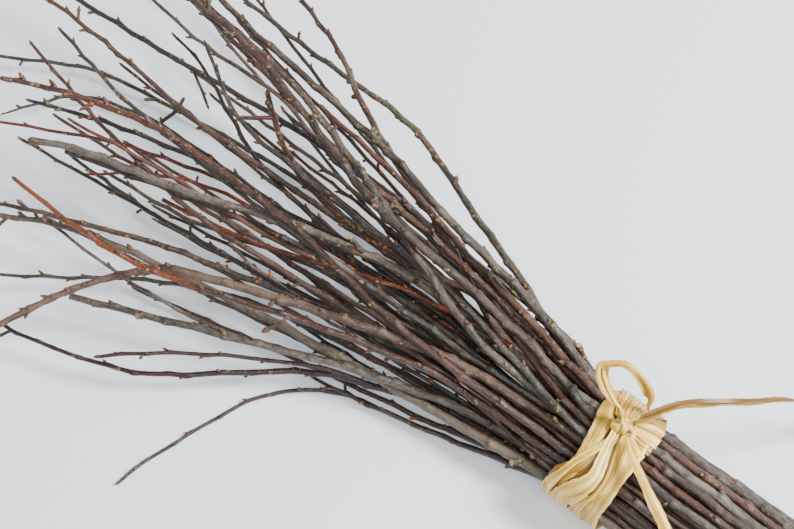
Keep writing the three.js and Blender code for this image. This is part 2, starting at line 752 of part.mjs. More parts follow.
const LOOP_ROUTE = [
  [-4, 8, 45.6], [-7.5, 7.4, 48.8], [-11.5, 8, 52], [-15.6, 10.4, 54.8], [-17.2, 13, 56.6], [-15.2, 16.3, 57.3],
  [-11.1, 19, 57], [-5.7, 19.5, 54.5], [-1, 19.2, 50.6], [1.8, 19, 45.4], [2.4, 18.2, 38],
];
const TAIL_RIGHT_ROUTE = [
  [4.6, 9.6, 45.2], [7, 13.6, 46.2], [9.6, 18, 47], [12.2, 22.2, 47.3], [16, 26.6, 47], [22.4, 33, 45.5],
  [29.2, 40.4, 43.5], [37, 49.6, 40.5], [44, 58, 36.5], [51, 66, 30], [57.5, 74, 20], [63, 81, 10.5],
  [70, 88, 4.2], [78, 95, 2.7], [89, 104, 2.5],
];
const TAIL_LOW_ROUTE = [
  [4.5, 0.5, 43.4], [9, -3.5, 44.6], [16, -8, 45], [25, -13, 44], [36, -18.5, 41.5], [46, -26, 37],
  [54, -34, 29], [60, -40, 19], [65, -45, 9.5], [71, -50, 4], [79, -55, 2.7], [89, -61, 2.5],
];

function addRibbons(group) {
  const ribbons = [
    ["raffia_loop", LOOP_ROUTE, LOOP_STEPS],
    ["raffia_tail_right", TAIL_RIGHT_ROUTE, TAIL_STEPS],
    ["raffia_tail_low", TAIL_LOW_ROUTE, TAIL_STEPS],
  ];
  for (const [name, route, steps] of ribbons) {
    addMesh(group, name, ribbonGeometry(route, steps), RAFFIA_COLOUR, RAFFIA_ROUGHNESS);
  }
}

const group = new THREE.Group();
addTwigs(group);
addWrap(group);
addKnot(group);
addRibbons(group);

export default group;
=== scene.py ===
# A bundle of pruned fruit-tree twigs lying on its side, tied near the cut ends with raffia.
# It is put together as by hand: the twigs first, each with its buds and spurs, then the raffia
# wrap, knot, loop and tails, and last the floor, the light and the camera. Metres, +Z up.

import json
import math
import random

import bpy
import numpy as np
from mathutils import Matrix, Vector


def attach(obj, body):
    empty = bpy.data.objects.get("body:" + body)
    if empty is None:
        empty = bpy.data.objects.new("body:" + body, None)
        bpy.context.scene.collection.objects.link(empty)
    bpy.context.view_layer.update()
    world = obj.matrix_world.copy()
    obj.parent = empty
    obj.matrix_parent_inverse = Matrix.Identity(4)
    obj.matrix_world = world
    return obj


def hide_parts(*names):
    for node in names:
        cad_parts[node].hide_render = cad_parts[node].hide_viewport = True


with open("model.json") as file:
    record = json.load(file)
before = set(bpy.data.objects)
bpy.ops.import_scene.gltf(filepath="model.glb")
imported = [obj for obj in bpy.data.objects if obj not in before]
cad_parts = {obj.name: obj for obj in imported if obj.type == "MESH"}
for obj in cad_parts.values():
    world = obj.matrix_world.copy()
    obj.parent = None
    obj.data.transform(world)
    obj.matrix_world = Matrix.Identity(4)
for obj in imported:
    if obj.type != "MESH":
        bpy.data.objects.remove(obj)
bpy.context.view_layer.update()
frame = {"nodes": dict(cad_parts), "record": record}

MM = 0.001


# Twig cores
# A pruned twig is a long thin rod, thick at its cut butt and thin at its tip. Each follows the
# middle of its solid, which is found from cuts across it, a few millimetres apart.
CUT_SPACING = 7 * MM
FIRST_CUT = 0.8 * MM
SHORTEST_STRIDE = 0.3 * MM
LEAP = 2.6 * MM
SWOLLEN = 1.4
PENTAGON_AREA = 2.378
SMOOTHING = 8 * MM
LEAST_STEPS = 8
FINE_STEP = 1.0 * MM


def solid_faces(node):
    """Corners and triangles of a solid, its loose triangles joined at their corners."""
    mesh = frame["nodes"][node].data
    mesh.calc_loop_triangles()
    corners = np.array([v.co for v in mesh.vertices])
    triangles = np.array([t.vertices for t in mesh.loop_triangles])
    places, index = np.unique(np.round(corners, 6), axis=0, return_inverse=True)
    return places, index.reshape(-1)[triangles]


def cut_outlines(solid, point, direction):
    """Middle and area of each closed outline in which a plane cuts a solid."""
    places, triangles = solid
    height = (places - point) @ direction + 1e-9
    above = height > 0
    count = above[triangles].sum(1)
    joined = {}
    crossings = {}
    for triangle in triangles[(count == 1) | (count == 2)]:
        ends = []
        for a, b in ((0, 1), (1, 2), (2, 0)):
            first, second = sorted((int(triangle[a]), int(triangle[b])))
            if above[first] != above[second]:
                share = height[first] / (height[first] - height[second])
                crossings[first, second] = places[first] + (places[second] - places[first]) * share
                ends.append((first, second))
        joined.setdefault(ends[0], []).append(ends[1])
        joined.setdefault(ends[1], []).append(ends[0])
    outlines = []
    left = set(joined)
    while left:
        here = left.pop()
        outline = [crossings[here]]
        while True:
            following = [key for key in joined[here] if key in left]
            if not following:
                break
            here = following[0]
            left.discard(here)
            outline.append(crossings[here])
        if len(outline) > 2:
            outlines.append(outline_middle(np.array(outline), direction))
    return outlines


def outline_middle(outline, direction):
    around = np.roll(outline, -1, axis=0)
    middle = outline.mean(0)
    pieces = np.cross(outline - middle, around - middle) @ direction / 2
    area = pieces.sum()
    centre = ((outline + around + middle) * pieces[:, None]).sum(0) / 3 / area
    return centre, abs(area)


def follow_rod(solid, start, direction, stop=None):
    """Middles and radii down a rod, from an end face on, to its other end or to a joint."""
    line = [start]
    areas = []
    stride = FIRST_CUT
    while stride > SHORTEST_STRIDE:
        ahead = line[-1] + direction * stride
        found = cut_outlines(solid, ahead, direction)
        near = [o for o in found if np.linalg.norm(o[0] - ahead) < LEAP]
        if not near:
            stride /= 2
            continue
        centre, area = min(near, key=lambda o: np.linalg.norm(o[0] - ahead))
        swollen = len(areas) > 2 and area > np.median(areas[-3:]) * SWOLLEN
        if stop is not None and (swollen or np.linalg.norm(centre - stop) < CUT_SPACING):
            break
        if swollen:
            centre = ahead
            area = areas[-1]
        way = centre - line[-1]
        direction = direction + way / np.linalg.norm(way)
        direction = direction / np.linalg.norm(direction)
        line.append(centre)
        areas.append(area)
        stride = CUT_SPACING
    if stop is not None:
        line.append(stop)
        areas.append(areas[-1])
    sound = min(2, len(areas) - 1)
    areas = [areas[sound]] * (sound + 1) + areas[sound:]
    return np.array(line), np.sqrt(np.array(areas) / PENTAGON_AREA)


def lengths_along(line):
    return np.concatenate([[0], np.cumsum(np.linalg.norm(np.diff(line, axis=0), axis=1))])


def smoothed(line, radii):
    """The line and radii again in fine even steps, with the corners eased as a twig bends."""
    far = lengths_along(line)
    fine = np.linspace(0, far[-1], max(LEAST_STEPS, int(far[-1] / FINE_STEP)))
    columns = np.column_stack([np.interp(fine, far, line[:, k]) for k in range(3)])
    columns = np.column_stack([columns, np.interp(fine, far, radii)])
    step = fine[1] - fine[0]
    reach = int(3 * SMOOTHING / step)
    if reach >= len(columns):
        return columns[:, :3], columns[:, 3]
    weights = np.exp(-0.5 * (np.arange(-reach, reach + 1) * step / SMOOTHING) ** 2)
    weights /= weights.sum()
    head = 2 * columns[0] - columns[reach:0:-1]
    tail = 2 * columns[-1] - columns[-2:-reach - 2:-1]
    head[:, 3] = columns[0, 3]
    tail[:, 3] = columns[-1, 3]
    padded = np.vstack([head, columns, tail])
    eased = np.column_stack([np.convolve(padded[:, k], weights, "valid") for k in range(4)])
    return eased[:, :3], eased[:, 3]


# Buds, spurs and cut stubs
# They grow from the twigs at the joints. A bud is a small pointed egg of closed scales, a spur
# is a short stack of ring scars with a bud on it, and a stub is what pruning left of a shoot.
PLAIN_BUD = [(0.7, 0), (1.0, 0.5), (1.05, 1.0), (0.95, 1.6), (0.7, 2.2), (0.35, 2.8), (0, 3.1)]
FAT_BUD = [
    (0.85, 0), (1.2, 0.4), (1.28, 0.9), (1.12, 1.0), (1.22, 1.6), (1.0, 2.0), (1.06, 2.2),
    (0.7, 2.8), (0.74, 2.95), (0.3, 3.5), (0, 3.7),
]
RINGED_SPUR = [
    (1.2, 0), (1.15, 0.6), (0.95, 0.8), (1.12, 1.05), (0.9, 1.3), (1.08, 1.6), (0.86, 1.85),
    (1.05, 2.1), (0.84, 2.4), (1.0, 2.7), (0.86, 2.95), (1.18, 3.4), (1.22, 3.9), (0.95, 4.5),
    (0.5, 5.2), (0, 5.6),
]
CUT_STUB = [
    (1.25, 0), (1.05, 0.8), (0.98, 2.0), (1.06, 3.0), (1.0, 3.9), (0.85, 4.0), (0.4, 4.02), (0, 4.02),
]
# A height above that of any growth, for one without a bud or cut wood.
NEVER = 99
GROWTH_SIDES = 8


def turned(name, profile):
    """A small closed growth on its foot, drawn up ring by ring. Its profile is in millimetres."""
    bpy.ops.object.select_all(action="DESELECT")
    bpy.ops.mesh.primitive_circle_add(
        vertices=GROWTH_SIDES, radius=profile[0][0] * MM, fill_type="NGON", location=(0, 0, 0)
    )
    growth = bpy.context.object
    growth.name = name
    bpy.ops.object.mode_set(mode="EDIT")
    bpy.ops.mesh.select_all(action="SELECT")
    for (wide, low), (next_wide, high) in zip(profile, profile[1:]):
        bpy.ops.mesh.extrude_region_move(TRANSFORM_OT_translate={"value": (0, 0, (high - low) * MM)})
        if next_wide:
            share = next_wide / wide
            bpy.ops.transform.resize(value=(share, share, 1), center_override=(0, 0, high * MM))
    bpy.ops.mesh.merge(type="CENTER")
    bpy.ops.mesh.select_all(action="SELECT")
    bpy.ops.mesh.normals_make_consistent(inside=False)
    bpy.ops.object.mode_set(mode="OBJECT")
    bpy.ops.object.shade_smooth()
    return growth


def point_values(piece, name, values):
    """Stores one number or one vector for each corner of a piece, for its material."""
    kind, field = ("FLOAT", "value") if values.ndim == 1 else ("FLOAT_VECTOR", "vector")
    stored = piece.data.attributes.new(name, kind, "POINT")
    stored.data.foreach_set(field, np.ascontiguousarray(values, np.float32).ravel())


def corners_of(piece):
    places = np.empty(len(piece.data.vertices) * 3, np.float32)
    piece.data.vertices.foreach_get("co", places)
    return places.reshape(-1, 3).astype(float)


def growth_pattern(name, profile, bud, cut):
    """A growth to copy from, with the heights in millimetres where its bud and cut wood start."""
    growth = turned(name, profile)
    places = corners_of(growth)
    height = places[:, 2] / MM
    point_values(growth, "bark_place", places)
    point_values(growth, "wood", (height > cut).astype(float))
    point_values(growth, "bud", np.clip((height - bud) * 4, 0, 1))
    point_values(growth, "scar", np.ones(len(places)))
    return growth


GROWTHS = {
    "bud": growth_pattern("bud_pattern", PLAIN_BUD, 0.3, NEVER),
    "fat": growth_pattern("fat_bud_pattern", FAT_BUD, 0.3, NEVER),
    "spur": growth_pattern("spur_pattern", RINGED_SPUR, 3.0, NEVER),
    "stub": growth_pattern("stub_pattern", CUT_STUB, NEVER, 3.95),
}


# Twigs
# Each is one piece of wood with its bark on: a rod that swells and turns a little at every
# joint, cut square at the butt. Its fork, buds, spurs and stubs are grown to it.
SIDES = 12
RING_SPACING = 1.3 * MM
RING_GAP = 0.3 * MM
# How far a twig and its side shoot step aside at a joint.
MAIN_ZIGZAG = 0.34 * MM
FORK_ZIGZAG = 0.3 * MM
WAVES = 12
# How far from the end of a solid its corners still belong to that end.
BUTT_DEPTH = 1.6 * MM
FORK_REACH = 2.6 * MM
LONG_GROWTH = 4.5
SOLID_SHARE = 0.93
TIE_ZONE = 19 * MM
# An end's rings: how far in from it, and share of the radius.
CUT_FACE = [(0, 0), (0, 0.55), (0, 0.93), (0.18 * MM, 1)]
ROUND_END = [(0, 0), (0.25 * MM, 0.55), (0.7 * MM, 0.85), (1.3 * MM, 1)]
LOW_TWIG = 8 * MM
SURFACE_GAP = 0.03 * MM
FORKS = {
    "twig_dark_red_low": [(-182, -98, 22), -92],
    "twig_olive_low": [(-146, -126, 1), -86],
    "twig_cut_lilac": [(-217, -116, 34), -170],
    "twig_cut_grey_low": [(-243, -67, 24), -140],
    "twig_blur_grey": [(-282, 60, 28), -222],
    "twig_lilac_bud": [(-170, -30, 36), -132],
    "twig_dark_far": [(-233, 20, 21), -249],
    "twig_orange_lichened": [(-204, 15, 45), -195],
    "twig_thin_olive": [(-247, 19, 15), -252],
}
INNER_FORK = 72
CUT_TIPS = [
    "twig_cut_grey_low", "twig_red_loose", "twig_upper_rust", "twig_cut_grey", "twig_cut_lilac",
]
# What shows on each twig: its x in millimetres, kind, length, thickness, turn from straight up.
GROWN = {
    "twig_dark_red_low": [(-222, "spur", 5.5, 0.9, 130), (-176, "fat", 2.6, 0.8, 40)],
    "twig_lichen_spurred": [
        (-254, "spur", 7, 1.0, 120), (-247, "spur", 4, 1.0, -20), (-238, "spur", 5, 1.1, 20),
        (-228, "spur", 4, 1.1, -60), (-216, "spur", 4, 1.2, 10), (-204, "fat", 3, 1.1, -30),
        (-138, "spur", 6, 1.3, 95), (-26, "stub", 3.2, 1.9, 60),
    ],
    "twig_cut_lilac": [(-120, "fat", 2.6, 1.2, -10), (-88, "fat", 2.6, 1.2, 60)],
    "twig_orange_shoot": [
        (-128, "fat", 3, 1.0, 60), (-160, "fat", 2.6, 1.0, -30), (-96, "fat", 3, 1.1, 120),
    ],
    "twig_cut_grey_low": [(-149, "fat", 4, 1.3, -20), (-181, "stub", 1.2, 1.9, 50)],
    "twig_lilac_bud": [(-247, "spur", 5, 1.1, -10)],
    "twig_dark_budded": [
        (-196, "bud", 4, 1.1, 100), (-268, "fat", 3, 0.9, 60), (-274, "fat", 3, 0.9, -40),
    ],
    "twig_stout_grey": [
        (-126, "stub", 9, 1.4, 0), (-100, "fat", 2.4, 1.3, 30), (-80, "fat", 2.4, 1.3, -30),
    ],
    "twig_cut_grey": [(-141, "spur", 6.5, 1.2, -20)],
    "twig_silver_budded": [(-222, "bud", 4, 1.1, -20)],
    "twig_pink_budded": [
        (-281, "fat", 4, 1.2, 40), (-276, "fat", 4, 1.2, -60), (-271, "fat", 4.4, 1.2, 30),
        (-265, "fat", 4.4, 1.2, -70), (-259, "fat", 4, 1.2, 60), (-250, "fat", 6, 1.2, 90),
        (-244, "fat", 4, 1.2, -50), (-225, "fat", 4, 1.4, -20), (-213, "spur", 3.4, 1.4, 40),
    ],
    "twig_lilac_long": [(-290, "spur", 5, 0.9, -60), (-267, "spur", 4, 1.0, 30)],
    "twig_dark_far": [(-205, "fat", 5, 1.1, 190)],
    "twig_blur_green": [(-262, "spur", 5, 0.9, 60), (-246, "stub", 5, 1.0, 0)],
    "twig_upper_smooth": [(-210, "fat", 3, 1.5, 200), (-150, "fat", 2.4, 1.3, 60)],
    "twig_upper_rough": [
        (-238, "spur", 5, 1.4, -70), (-222, "spur", 5, 1.4, 60), (-200, "spur", 3, 1.5, 10),
        (-172, "spur", 3, 1.5, -40), (-128, "fat", 2.6, 1.4, 50),
    ],
    "twig_upper_rust": [
        (-150, "fat", 4, 1.2, -40), (-168, "spur", 3.4, 1.2, 20), (-128, "spur", 3, 1.2, 70),
    ],
    "twig_outer_olive": [
        (-192, "fat", 3.4, 1.4, 180), (-150, "fat", 2.6, 1.3, 60), (-124, "fat", 2.6, 1.4, -60),
        (-55, "stub", 3, 1.9, 50),
    ],
    "twig_outer_brown": [
        (-197, "fat", 3.4, 1.3, 180), (-160, "spur", 3, 1.3, 40), (-178, "spur", 3, 1.2, 120),
    ],
    "twig_far_grey": [(-32, "stub", 6, 1.9, 5)],
    "twig_orange_lichened": [
        (-180, "spur", 5, 1.4, 120), (-198, "spur", 4, 1.3, 30), (-170, "fat", 3, 1.3, -30),
    ],
}


def joints_along(length, chance):
    """Places of the joints from the butt on, closer together towards the tip."""
    places = []
    here = chance.uniform(4, 12) * MM
    while here < length - 5 * MM:
        places.append(here)
        share = here / length
        here += chance.uniform(8, 21) * MM * (1 - 0.4 * share)
    return places


def rod_frames(centres):
    along = np.gradient(centres, axis=0)
    along /= np.linalg.norm(along, axis=1)[:, None]
    side = np.cross((0, 0, 1), along)
    side /= np.linalg.norm(side, axis=1)[:, None]
    up = np.cross(along, side)
    return along, side, up


class Rod:
    """The shape of one length of twig: its middle line, rings, joints and bark relief."""

    def __init__(self, line, radii, chance, joints, zigzag, roughness):
        self.line, self.radii = smoothed(line, radii * SOLID_SHARE)
        self.far = lengths_along(self.line)
        self.length = self.far[-1]
        self.chance = chance
        self.joints = joints
        turn = chance.uniform(0, 360)
        self.turns = []
        self.knobs = []
        for _ in joints:
            self.turns.append(math.radians(turn))
            self.knobs.append(chance.uniform(0.25, 1.5))
            turn += chance.choice([137, 180, 150])
        self.bend(zigzag)
        self.waves = [
            (
                chance.randint(0, 3),
                2 * math.pi / (chance.uniform(2.8, 20) * MM),
                chance.uniform(0, 6.28),
            )
            for _ in range(WAVES)
        ]
        self.roughness = roughness

    def bend(self, zigzag):
        """Turns the line a little at each joint, towards the joint's bud."""
        if not self.joints:
            return
        _, side, up = rod_frames(self.line)
        reach = [0, *self.joints, self.length]
        for way, part in ((up, np.cos), (side, np.sin)):
            moves = [0, *[zigzag * float(part(t)) for t in self.turns], 0]
            self.line = self.line + way * np.interp(self.far, reach, moves)[:, None]

    def at(self, far):
        return np.column_stack([np.interp(far, self.far, self.line[:, k]) for k in range(3)])

    def radius_at(self, far):
        return np.interp(far, self.far, self.radii)

    def swelling(self, far, angle):
        """How far the bark stands out at the joints, as a share of the radius."""
        out = np.zeros(np.broadcast(far, angle).shape)
        scar = np.zeros(np.broadcast(far, angle).shape)
        for place, turn, knob in zip(self.joints, self.turns, self.knobs):
            step = (far - place) / MM
            shape = np.where(step < 0, np.exp(-(step / 2.1) ** 2), np.exp(-(step / 0.9) ** 2))
            facing = 0.5 + 0.5 * np.cos(angle - turn)
            out = out + shape * knob * (0.06 + 0.32 * facing ** 3)
            scar = np.maximum(scar, shape * (0.12 + 0.88 * facing ** 3) * min(1, knob))
        return out, scar

    def relief(self, far, angle):
        total = 0
        for count, pace, start in self.waves:
            total = total + np.sin(count * angle + pace * far + start)
        return total * self.roughness / 3.2


def rolled(name, shape, values, crease=55):
    """A closed tube: a flat grid rolled up until its long edges meet, its ends drawn to points."""
    rows, columns = shape.shape[:2]
    bpy.ops.object.select_all(action="DESELECT")
    bpy.ops.mesh.primitive_grid_add(x_subdivisions=columns, y_subdivisions=rows - 1, size=2)
    piece = bpy.context.object
    piece.name = name
    flat = corners_of(piece)
    column = np.rint((flat[:, 0] + 1) / 2 * columns).astype(int) % columns
    row = np.rint((flat[:, 1] + 1) / 2 * (rows - 1)).astype(int)
    piece.data.vertices.foreach_set("co", shape[row, column].astype(np.float32).ravel())
    for key, value in values.items():
        point_values(piece, key, value[row, column])
    bpy.ops.object.mode_set(mode="EDIT")
    bpy.ops.mesh.select_all(action="SELECT")
    bpy.ops.mesh.remove_doubles(threshold=0.002 * MM)
    bpy.ops.mesh.normals_make_consistent(inside=False)
    bpy.ops.object.mode_set(mode="OBJECT")
    bpy.ops.object.shade_smooth_by_angle(angle=math.radians(crease))
    return piece


def rod_piece(name, rod, cut_start, cut_end):
    """One length of twig as a mesh. A cut end is flat, and another end is rounded off."""
    count = max(6, int(rod.length / RING_SPACING))
    far = np.linspace(0, rod.length, count + 1)
    extra = [p + d * MM for p in rod.joints for d in (-0.5, 0.5, 1.1)]
    far = np.unique(np.round(np.concatenate([far, extra]), 6))
    far = far[(far >= 0) & (far <= rod.length)]
    start = CUT_FACE if cut_start else ROUND_END
    end = CUT_FACE if cut_end else ROUND_END
    inner = far[(far > start[-1][0] + RING_GAP) & (far < rod.length - end[-1][0] - RING_GAP)]
    rows = [(s, k) for s, k in start] + [(s, 1) for s in inner]
    rows += [(rod.length - s, k) for s, k in reversed(end)]
    far = np.array([r[0] for r in rows])
    scale = np.array([r[1] for r in rows])
    wood = np.zeros(len(rows))
    if cut_start:
        wood[:3] = 1
    if cut_end:
        wood[-3:] = 1
    _, fine_side, fine_up = rod_frames(rod.line)
    pick = np.clip(np.searchsorted(rod.far, far), 0, len(rod.far) - 1)
    angle = np.arange(SIDES) * 2 * math.pi / SIDES
    out, scar = rod.swelling(far[:, None], angle[None, :])
    swell = 1 + out + rod.relief(far[:, None], angle[None, :])
    radius = rod.radius_at(far)[:, None] * scale[:, None] * swell
    ring = np.cos(angle)[None, :, None] * fine_up[pick][:, None, :]
    ring = ring + np.sin(angle)[None, :, None] * fine_side[pick][:, None, :]
    shape = rod.at(far)[:, None, :] + ring * radius[:, :, None]
    ones = np.ones((1, SIDES))
    bark_place = np.stack([
        np.cos(angle)[None, :] * radius,
        np.sin(angle)[None, :] * radius,
        far[:, None] * ones,
    ], axis=2)
    return rolled(name, shape, {
        "bark_place": bark_place,
        "wood": wood[:, None] * ones,
        "bud": 0 * scar,
        "scar": scar,
    })


def set_growth(rod, kind, far, turn, length, thick, lean):
    """A copy of a growth, standing on the twig at a distance along it."""
    pattern = GROWTHS[kind]
    growth = pattern.copy()
    growth.data = pattern.data.copy()
    bpy.context.collection.objects.link(growth)
    along, side, up = rod_frames(rod.line)
    pick = min(int(np.searchsorted(rod.far, far)), len(rod.far) - 1)
    out = up[pick] * math.cos(turn) + side[pick] * math.sin(turn) + along[pick] * lean
    out /= np.linalg.norm(out)
    if rod.line[pick][2] < LOW_TWIG:
        out[2] = abs(out[2])
    places = corners_of(growth)
    top = places[:, 2].max()
    widest = np.abs(places[:, 0]).max()
    foot = rod.line[pick] + (out - along[pick] * lean * 0.5) * rod.radii[pick] * 0.55
    turn_up = Vector(out).to_track_quat("Z", "X").to_matrix().to_4x4()
    size = Matrix.Diagonal((thick * MM / widest, thick * MM / widest, length * MM / top, 1))
    growth.data.transform(Matrix.Translation(foot) @ turn_up @ size)
    return growth


def tip_bud(rod):
    """The bud at the end of a length of twig, pointing onwards."""
    return set_growth(rod, "bud", rod.length - 0.6 * MM, 0, 2.9, rod.radii[-1] / MM * 1.05, 6)


def random_growths(rod, chance, keep_out):
    """Buds and small spurs at the joints, as they come."""
    made = []
    for place, turn in zip(rod.joints, rod.turns):
        x = rod.at(np.array([place]))[0, 0]
        draw = chance.random()
        size = chance.uniform(0.85, 1.2)
        thick = 0.36 * rod.radius_at(place) / MM + 0.35
        if abs(x) < TIE_ZONE or any(abs(place - k) < 5 * MM for k in keep_out):
            continue
        if draw < 0.5:
            made.append(set_growth(rod, "bud", place, turn, 2.7 * size, thick, 1.5))
        elif draw < 0.62:
            made.append(set_growth(rod, "fat", place, turn, 3.2 * size, thick * 1.15, 1.1))
        elif draw < 0.72:
            made.append(set_growth(rod, "spur", place, turn, 3.6 * size, thick * 1.1, 0.5))
    return made


def joined(name, parts):
    bpy.ops.object.select_all(action="DESELECT")
    for part in parts:
        part.select_set(True)
    bpy.context.view_layer.objects.active = parts[0]
    bpy.ops.object.join()
    parts[0].name = name
    parts[0].data.name = name
    return parts[0]


def grow_twig(node, number, slots):
    """One twig of the bundle, in place of its solid."""
    chance = random.Random(100 + number)
    solid = solid_faces(node)
    places = solid[0]
    butt = places[places[:, 0] > places[:, 0].max() - BUTT_DEPTH].mean(0)
    line, radii = follow_rod(solid, butt, np.array([-1.0, 0, 0]))
    rough = ROUGHNESS[slots[node]]
    length = lengths_along(line)[-1]
    main = Rod(line, radii, chance, joints_along(length, chance), MAIN_ZIGZAG, rough)
    parts = [rod_piece(node, main, True, node in CUT_TIPS)]
    keep_out = []
    for x, kind, size, thick, turn in GROWN.get(node, []):
        far = main.far[np.argmin(np.abs(main.line[:, 0] - x * MM))]
        keep_out.append(far)
        sunk, lean = (1.2, 0.7) if kind == "stub" or size > LONG_GROWTH else (0.6, 1.0)
        parts.append(set_growth(main, kind, far, math.radians(turn), size + sunk, thick, lean))
    parts += random_growths(main, chance, keep_out)
    if node not in CUT_TIPS:
        parts.append(tip_bud(main))
    for tip, x in fork_ends(node, places, main):
        near = places[np.argmin(np.linalg.norm(places - tip, axis=1))]
        start = places[np.linalg.norm(places - near, axis=1) < FORK_REACH].mean(0)
        joint = main.line[np.argmin(np.abs(main.line[:, 0] - x))]
        way = joint - start
        line, radii = follow_rod(solid, start, way / np.linalg.norm(way), joint)
        line, radii = line[::-1], radii[::-1]
        length = lengths_along(line)[-1]
        joints = [p for p in joints_along(length, chance) if p > 6 * MM]
        fork = Rod(line, radii, chance, joints, FORK_ZIGZAG, rough)
        parts.append(rod_piece(node + "_fork", fork, False, False))
        parts += random_growths(fork, chance, [])
        parts.append(tip_bud(fork))
    twig = joined(node + "_bark", parts)
    corners = corners_of(twig)
    corners[:, 2] = np.maximum(corners[:, 2], SURFACE_GAP)
    twig.data.vertices.foreach_set("co", corners.astype(np.float32).ravel())
    point_values(twig, "tone", np.full(len(corners), chance.random()))
    begin, end = YOUNG.get(node, YOUNG_WOOD)
    point_values(twig, "young", np.clip((begin * MM - corners[:, 0]) / ((begin - end) * MM), 0, 1))
    return twig


def fork_ends(node, places, main):
    """Tip and joint of a twig's side shoot, if any. An inner twig's is its furthest corner."""
    if node in FORKS:
        tip, x = FORKS[node]
        return [(np.array(tip) * MM, x * MM)]
    if not node.startswith("twig_inner"):
        return []
    apart = [np.linalg.norm(main.line - place, axis=1).min() for place in places]
    return [(places[int(np.argmax(apart))], INNER_FORK * MM)]


ROUGHNESS = {
    "bark_grey": 0.06, "bark_silver": 0.05, "bark_lilac": 0.065, "bark_brown": 0.05,
    "bark_dark": 0.06, "bark_dark_red": 0.03, "bark_red": 0.03, "bark_red_brown": 0.06,
    "bark_pink": 0.045, "bark_orange": 0.03, "bark_olive": 0.06, "bark_green": 0.05,
}
# Where the wood turns young, and where it is wholly so, in millimetres along the bundle.
YOUNG_WOOD = (-120, -290)
YOUNG = {
    "twig_orange_shoot": (-158, -172),
    "twig_red_loose": (80, -230),
    "twig_dark_red_low": (-60, -120),
    "twig_red_orange_low": (-60, -150),
}


# Bark
# Young fruit-tree bark is a thin satin skin, streaked along the twig, with a grey bloom that
# rubs off, pale pores, dark scars at the joints and small specks of lichen. A cut shows pale wood.
def tint(code):
    """A colour from its six-digit code, as light."""
    shares = [int(code[i:i + 2], 16) / 255 for i in (0, 2, 4)]
    return tuple(s / 12.92 if s <= 0.04045 else ((s + 0.055) / 1.055) ** 2.4 for s in shares) + (1,)


class Shade:
    """A node's socket that works in plain expressions."""

    def __init__(self, tree, socket=None):
        self.tree = tree
        self.socket = socket

    def node(self, kind, inputs, settings=None, output=0):
        made = self.tree.nodes.new(kind)
        for name, value in (settings or {}).items():
            setattr(made, name, value)
        for key, value in inputs.items():
            if isinstance(value, Shade):
                self.tree.links.new(value.socket, made.inputs[key])
            else:
                made.inputs[key].default_value = value
        return Shade(self.tree, made.outputs[output])

    def math(self, operation, *values, clamp=False):
        settings = {"operation": operation, "use_clamp": clamp}
        return self.node("ShaderNodeMath", dict(enumerate(values)), settings)

    def __add__(self, other):
        return self.math("ADD", self, other)

    def __sub__(self, other):
        return self.math("SUBTRACT", self, other)

    def __rsub__(self, other):
        return self.math("SUBTRACT", other, self)

    def __mul__(self, other):
        return self.math("MULTIPLY", self, other)

    __radd__ = __add__
    __rmul__ = __mul__

    def clamped(self):
        return self.math("ADD", self, 0, clamp=True)

    def above(self, low, high):
        """0 below low and 1 over high, with a soft step between."""
        return self.node("ShaderNodeMapRange", {0: self, 1: low, 2: high, 3: 0, 4: 1},
                         {"interpolation_type": "SMOOTHSTEP"})

    def stretched(self, *shares):
        return self.node("ShaderNodeVectorMath", {0: self, 1: shares}, {"operation": "MULTIPLY"})

    def moved(self, amount):
        return self.node("ShaderNodeVectorMath", {0: self, 1: amount}, {"operation": "ADD"})

    def noise(self, scale, detail=2, roughness=0.5):
        return self.node("ShaderNodeTexNoise",
                         {"Vector": self, "Scale": scale, "Detail": detail, "Roughness": roughness})

    def cells(self, scale, output="Distance"):
        return self.node("ShaderNodeTexVoronoi", {"Vector": self, "Scale": scale}, output=output)

    def attribute(self, name, output="Fac"):
        return self.node("ShaderNodeAttribute", {}, {"attribute_name": name}, output=output)

    def blend(self, first, second):
        """A mix of two colours, this socket being the share of the second."""
        sockets = {0: self, 6: first, 7: second}
        return self.node("ShaderNodeMix", sockets, {"data_type": "RGBA"}, output=2)


def new_finish(name, roughness, **sockets):
    """A material with its shader and a first expression to build on."""
    material = bpy.data.materials.new(name)
    material.use_nodes = True
    shader = material.node_tree.nodes["Principled BSDF"]
    shader.inputs["Roughness"].default_value = roughness
    for key, value in sockets.items():
        shader.inputs[key.replace("_", " ")].default_value = value
    return material, shader, Shade(material.node_tree)


def feed(shader, key, painted_light_and_tone):
    painted_light_and_tone.tree.links.new(painted_light_and_tone.socket, shader.inputs[key])


def bump(shader, height, distance, strength):
    settings = {"Height": height, "Distance": distance, "Strength": strength}
    made = height.node("ShaderNodeBump", settings)
    feed(shader, "Normal", made)


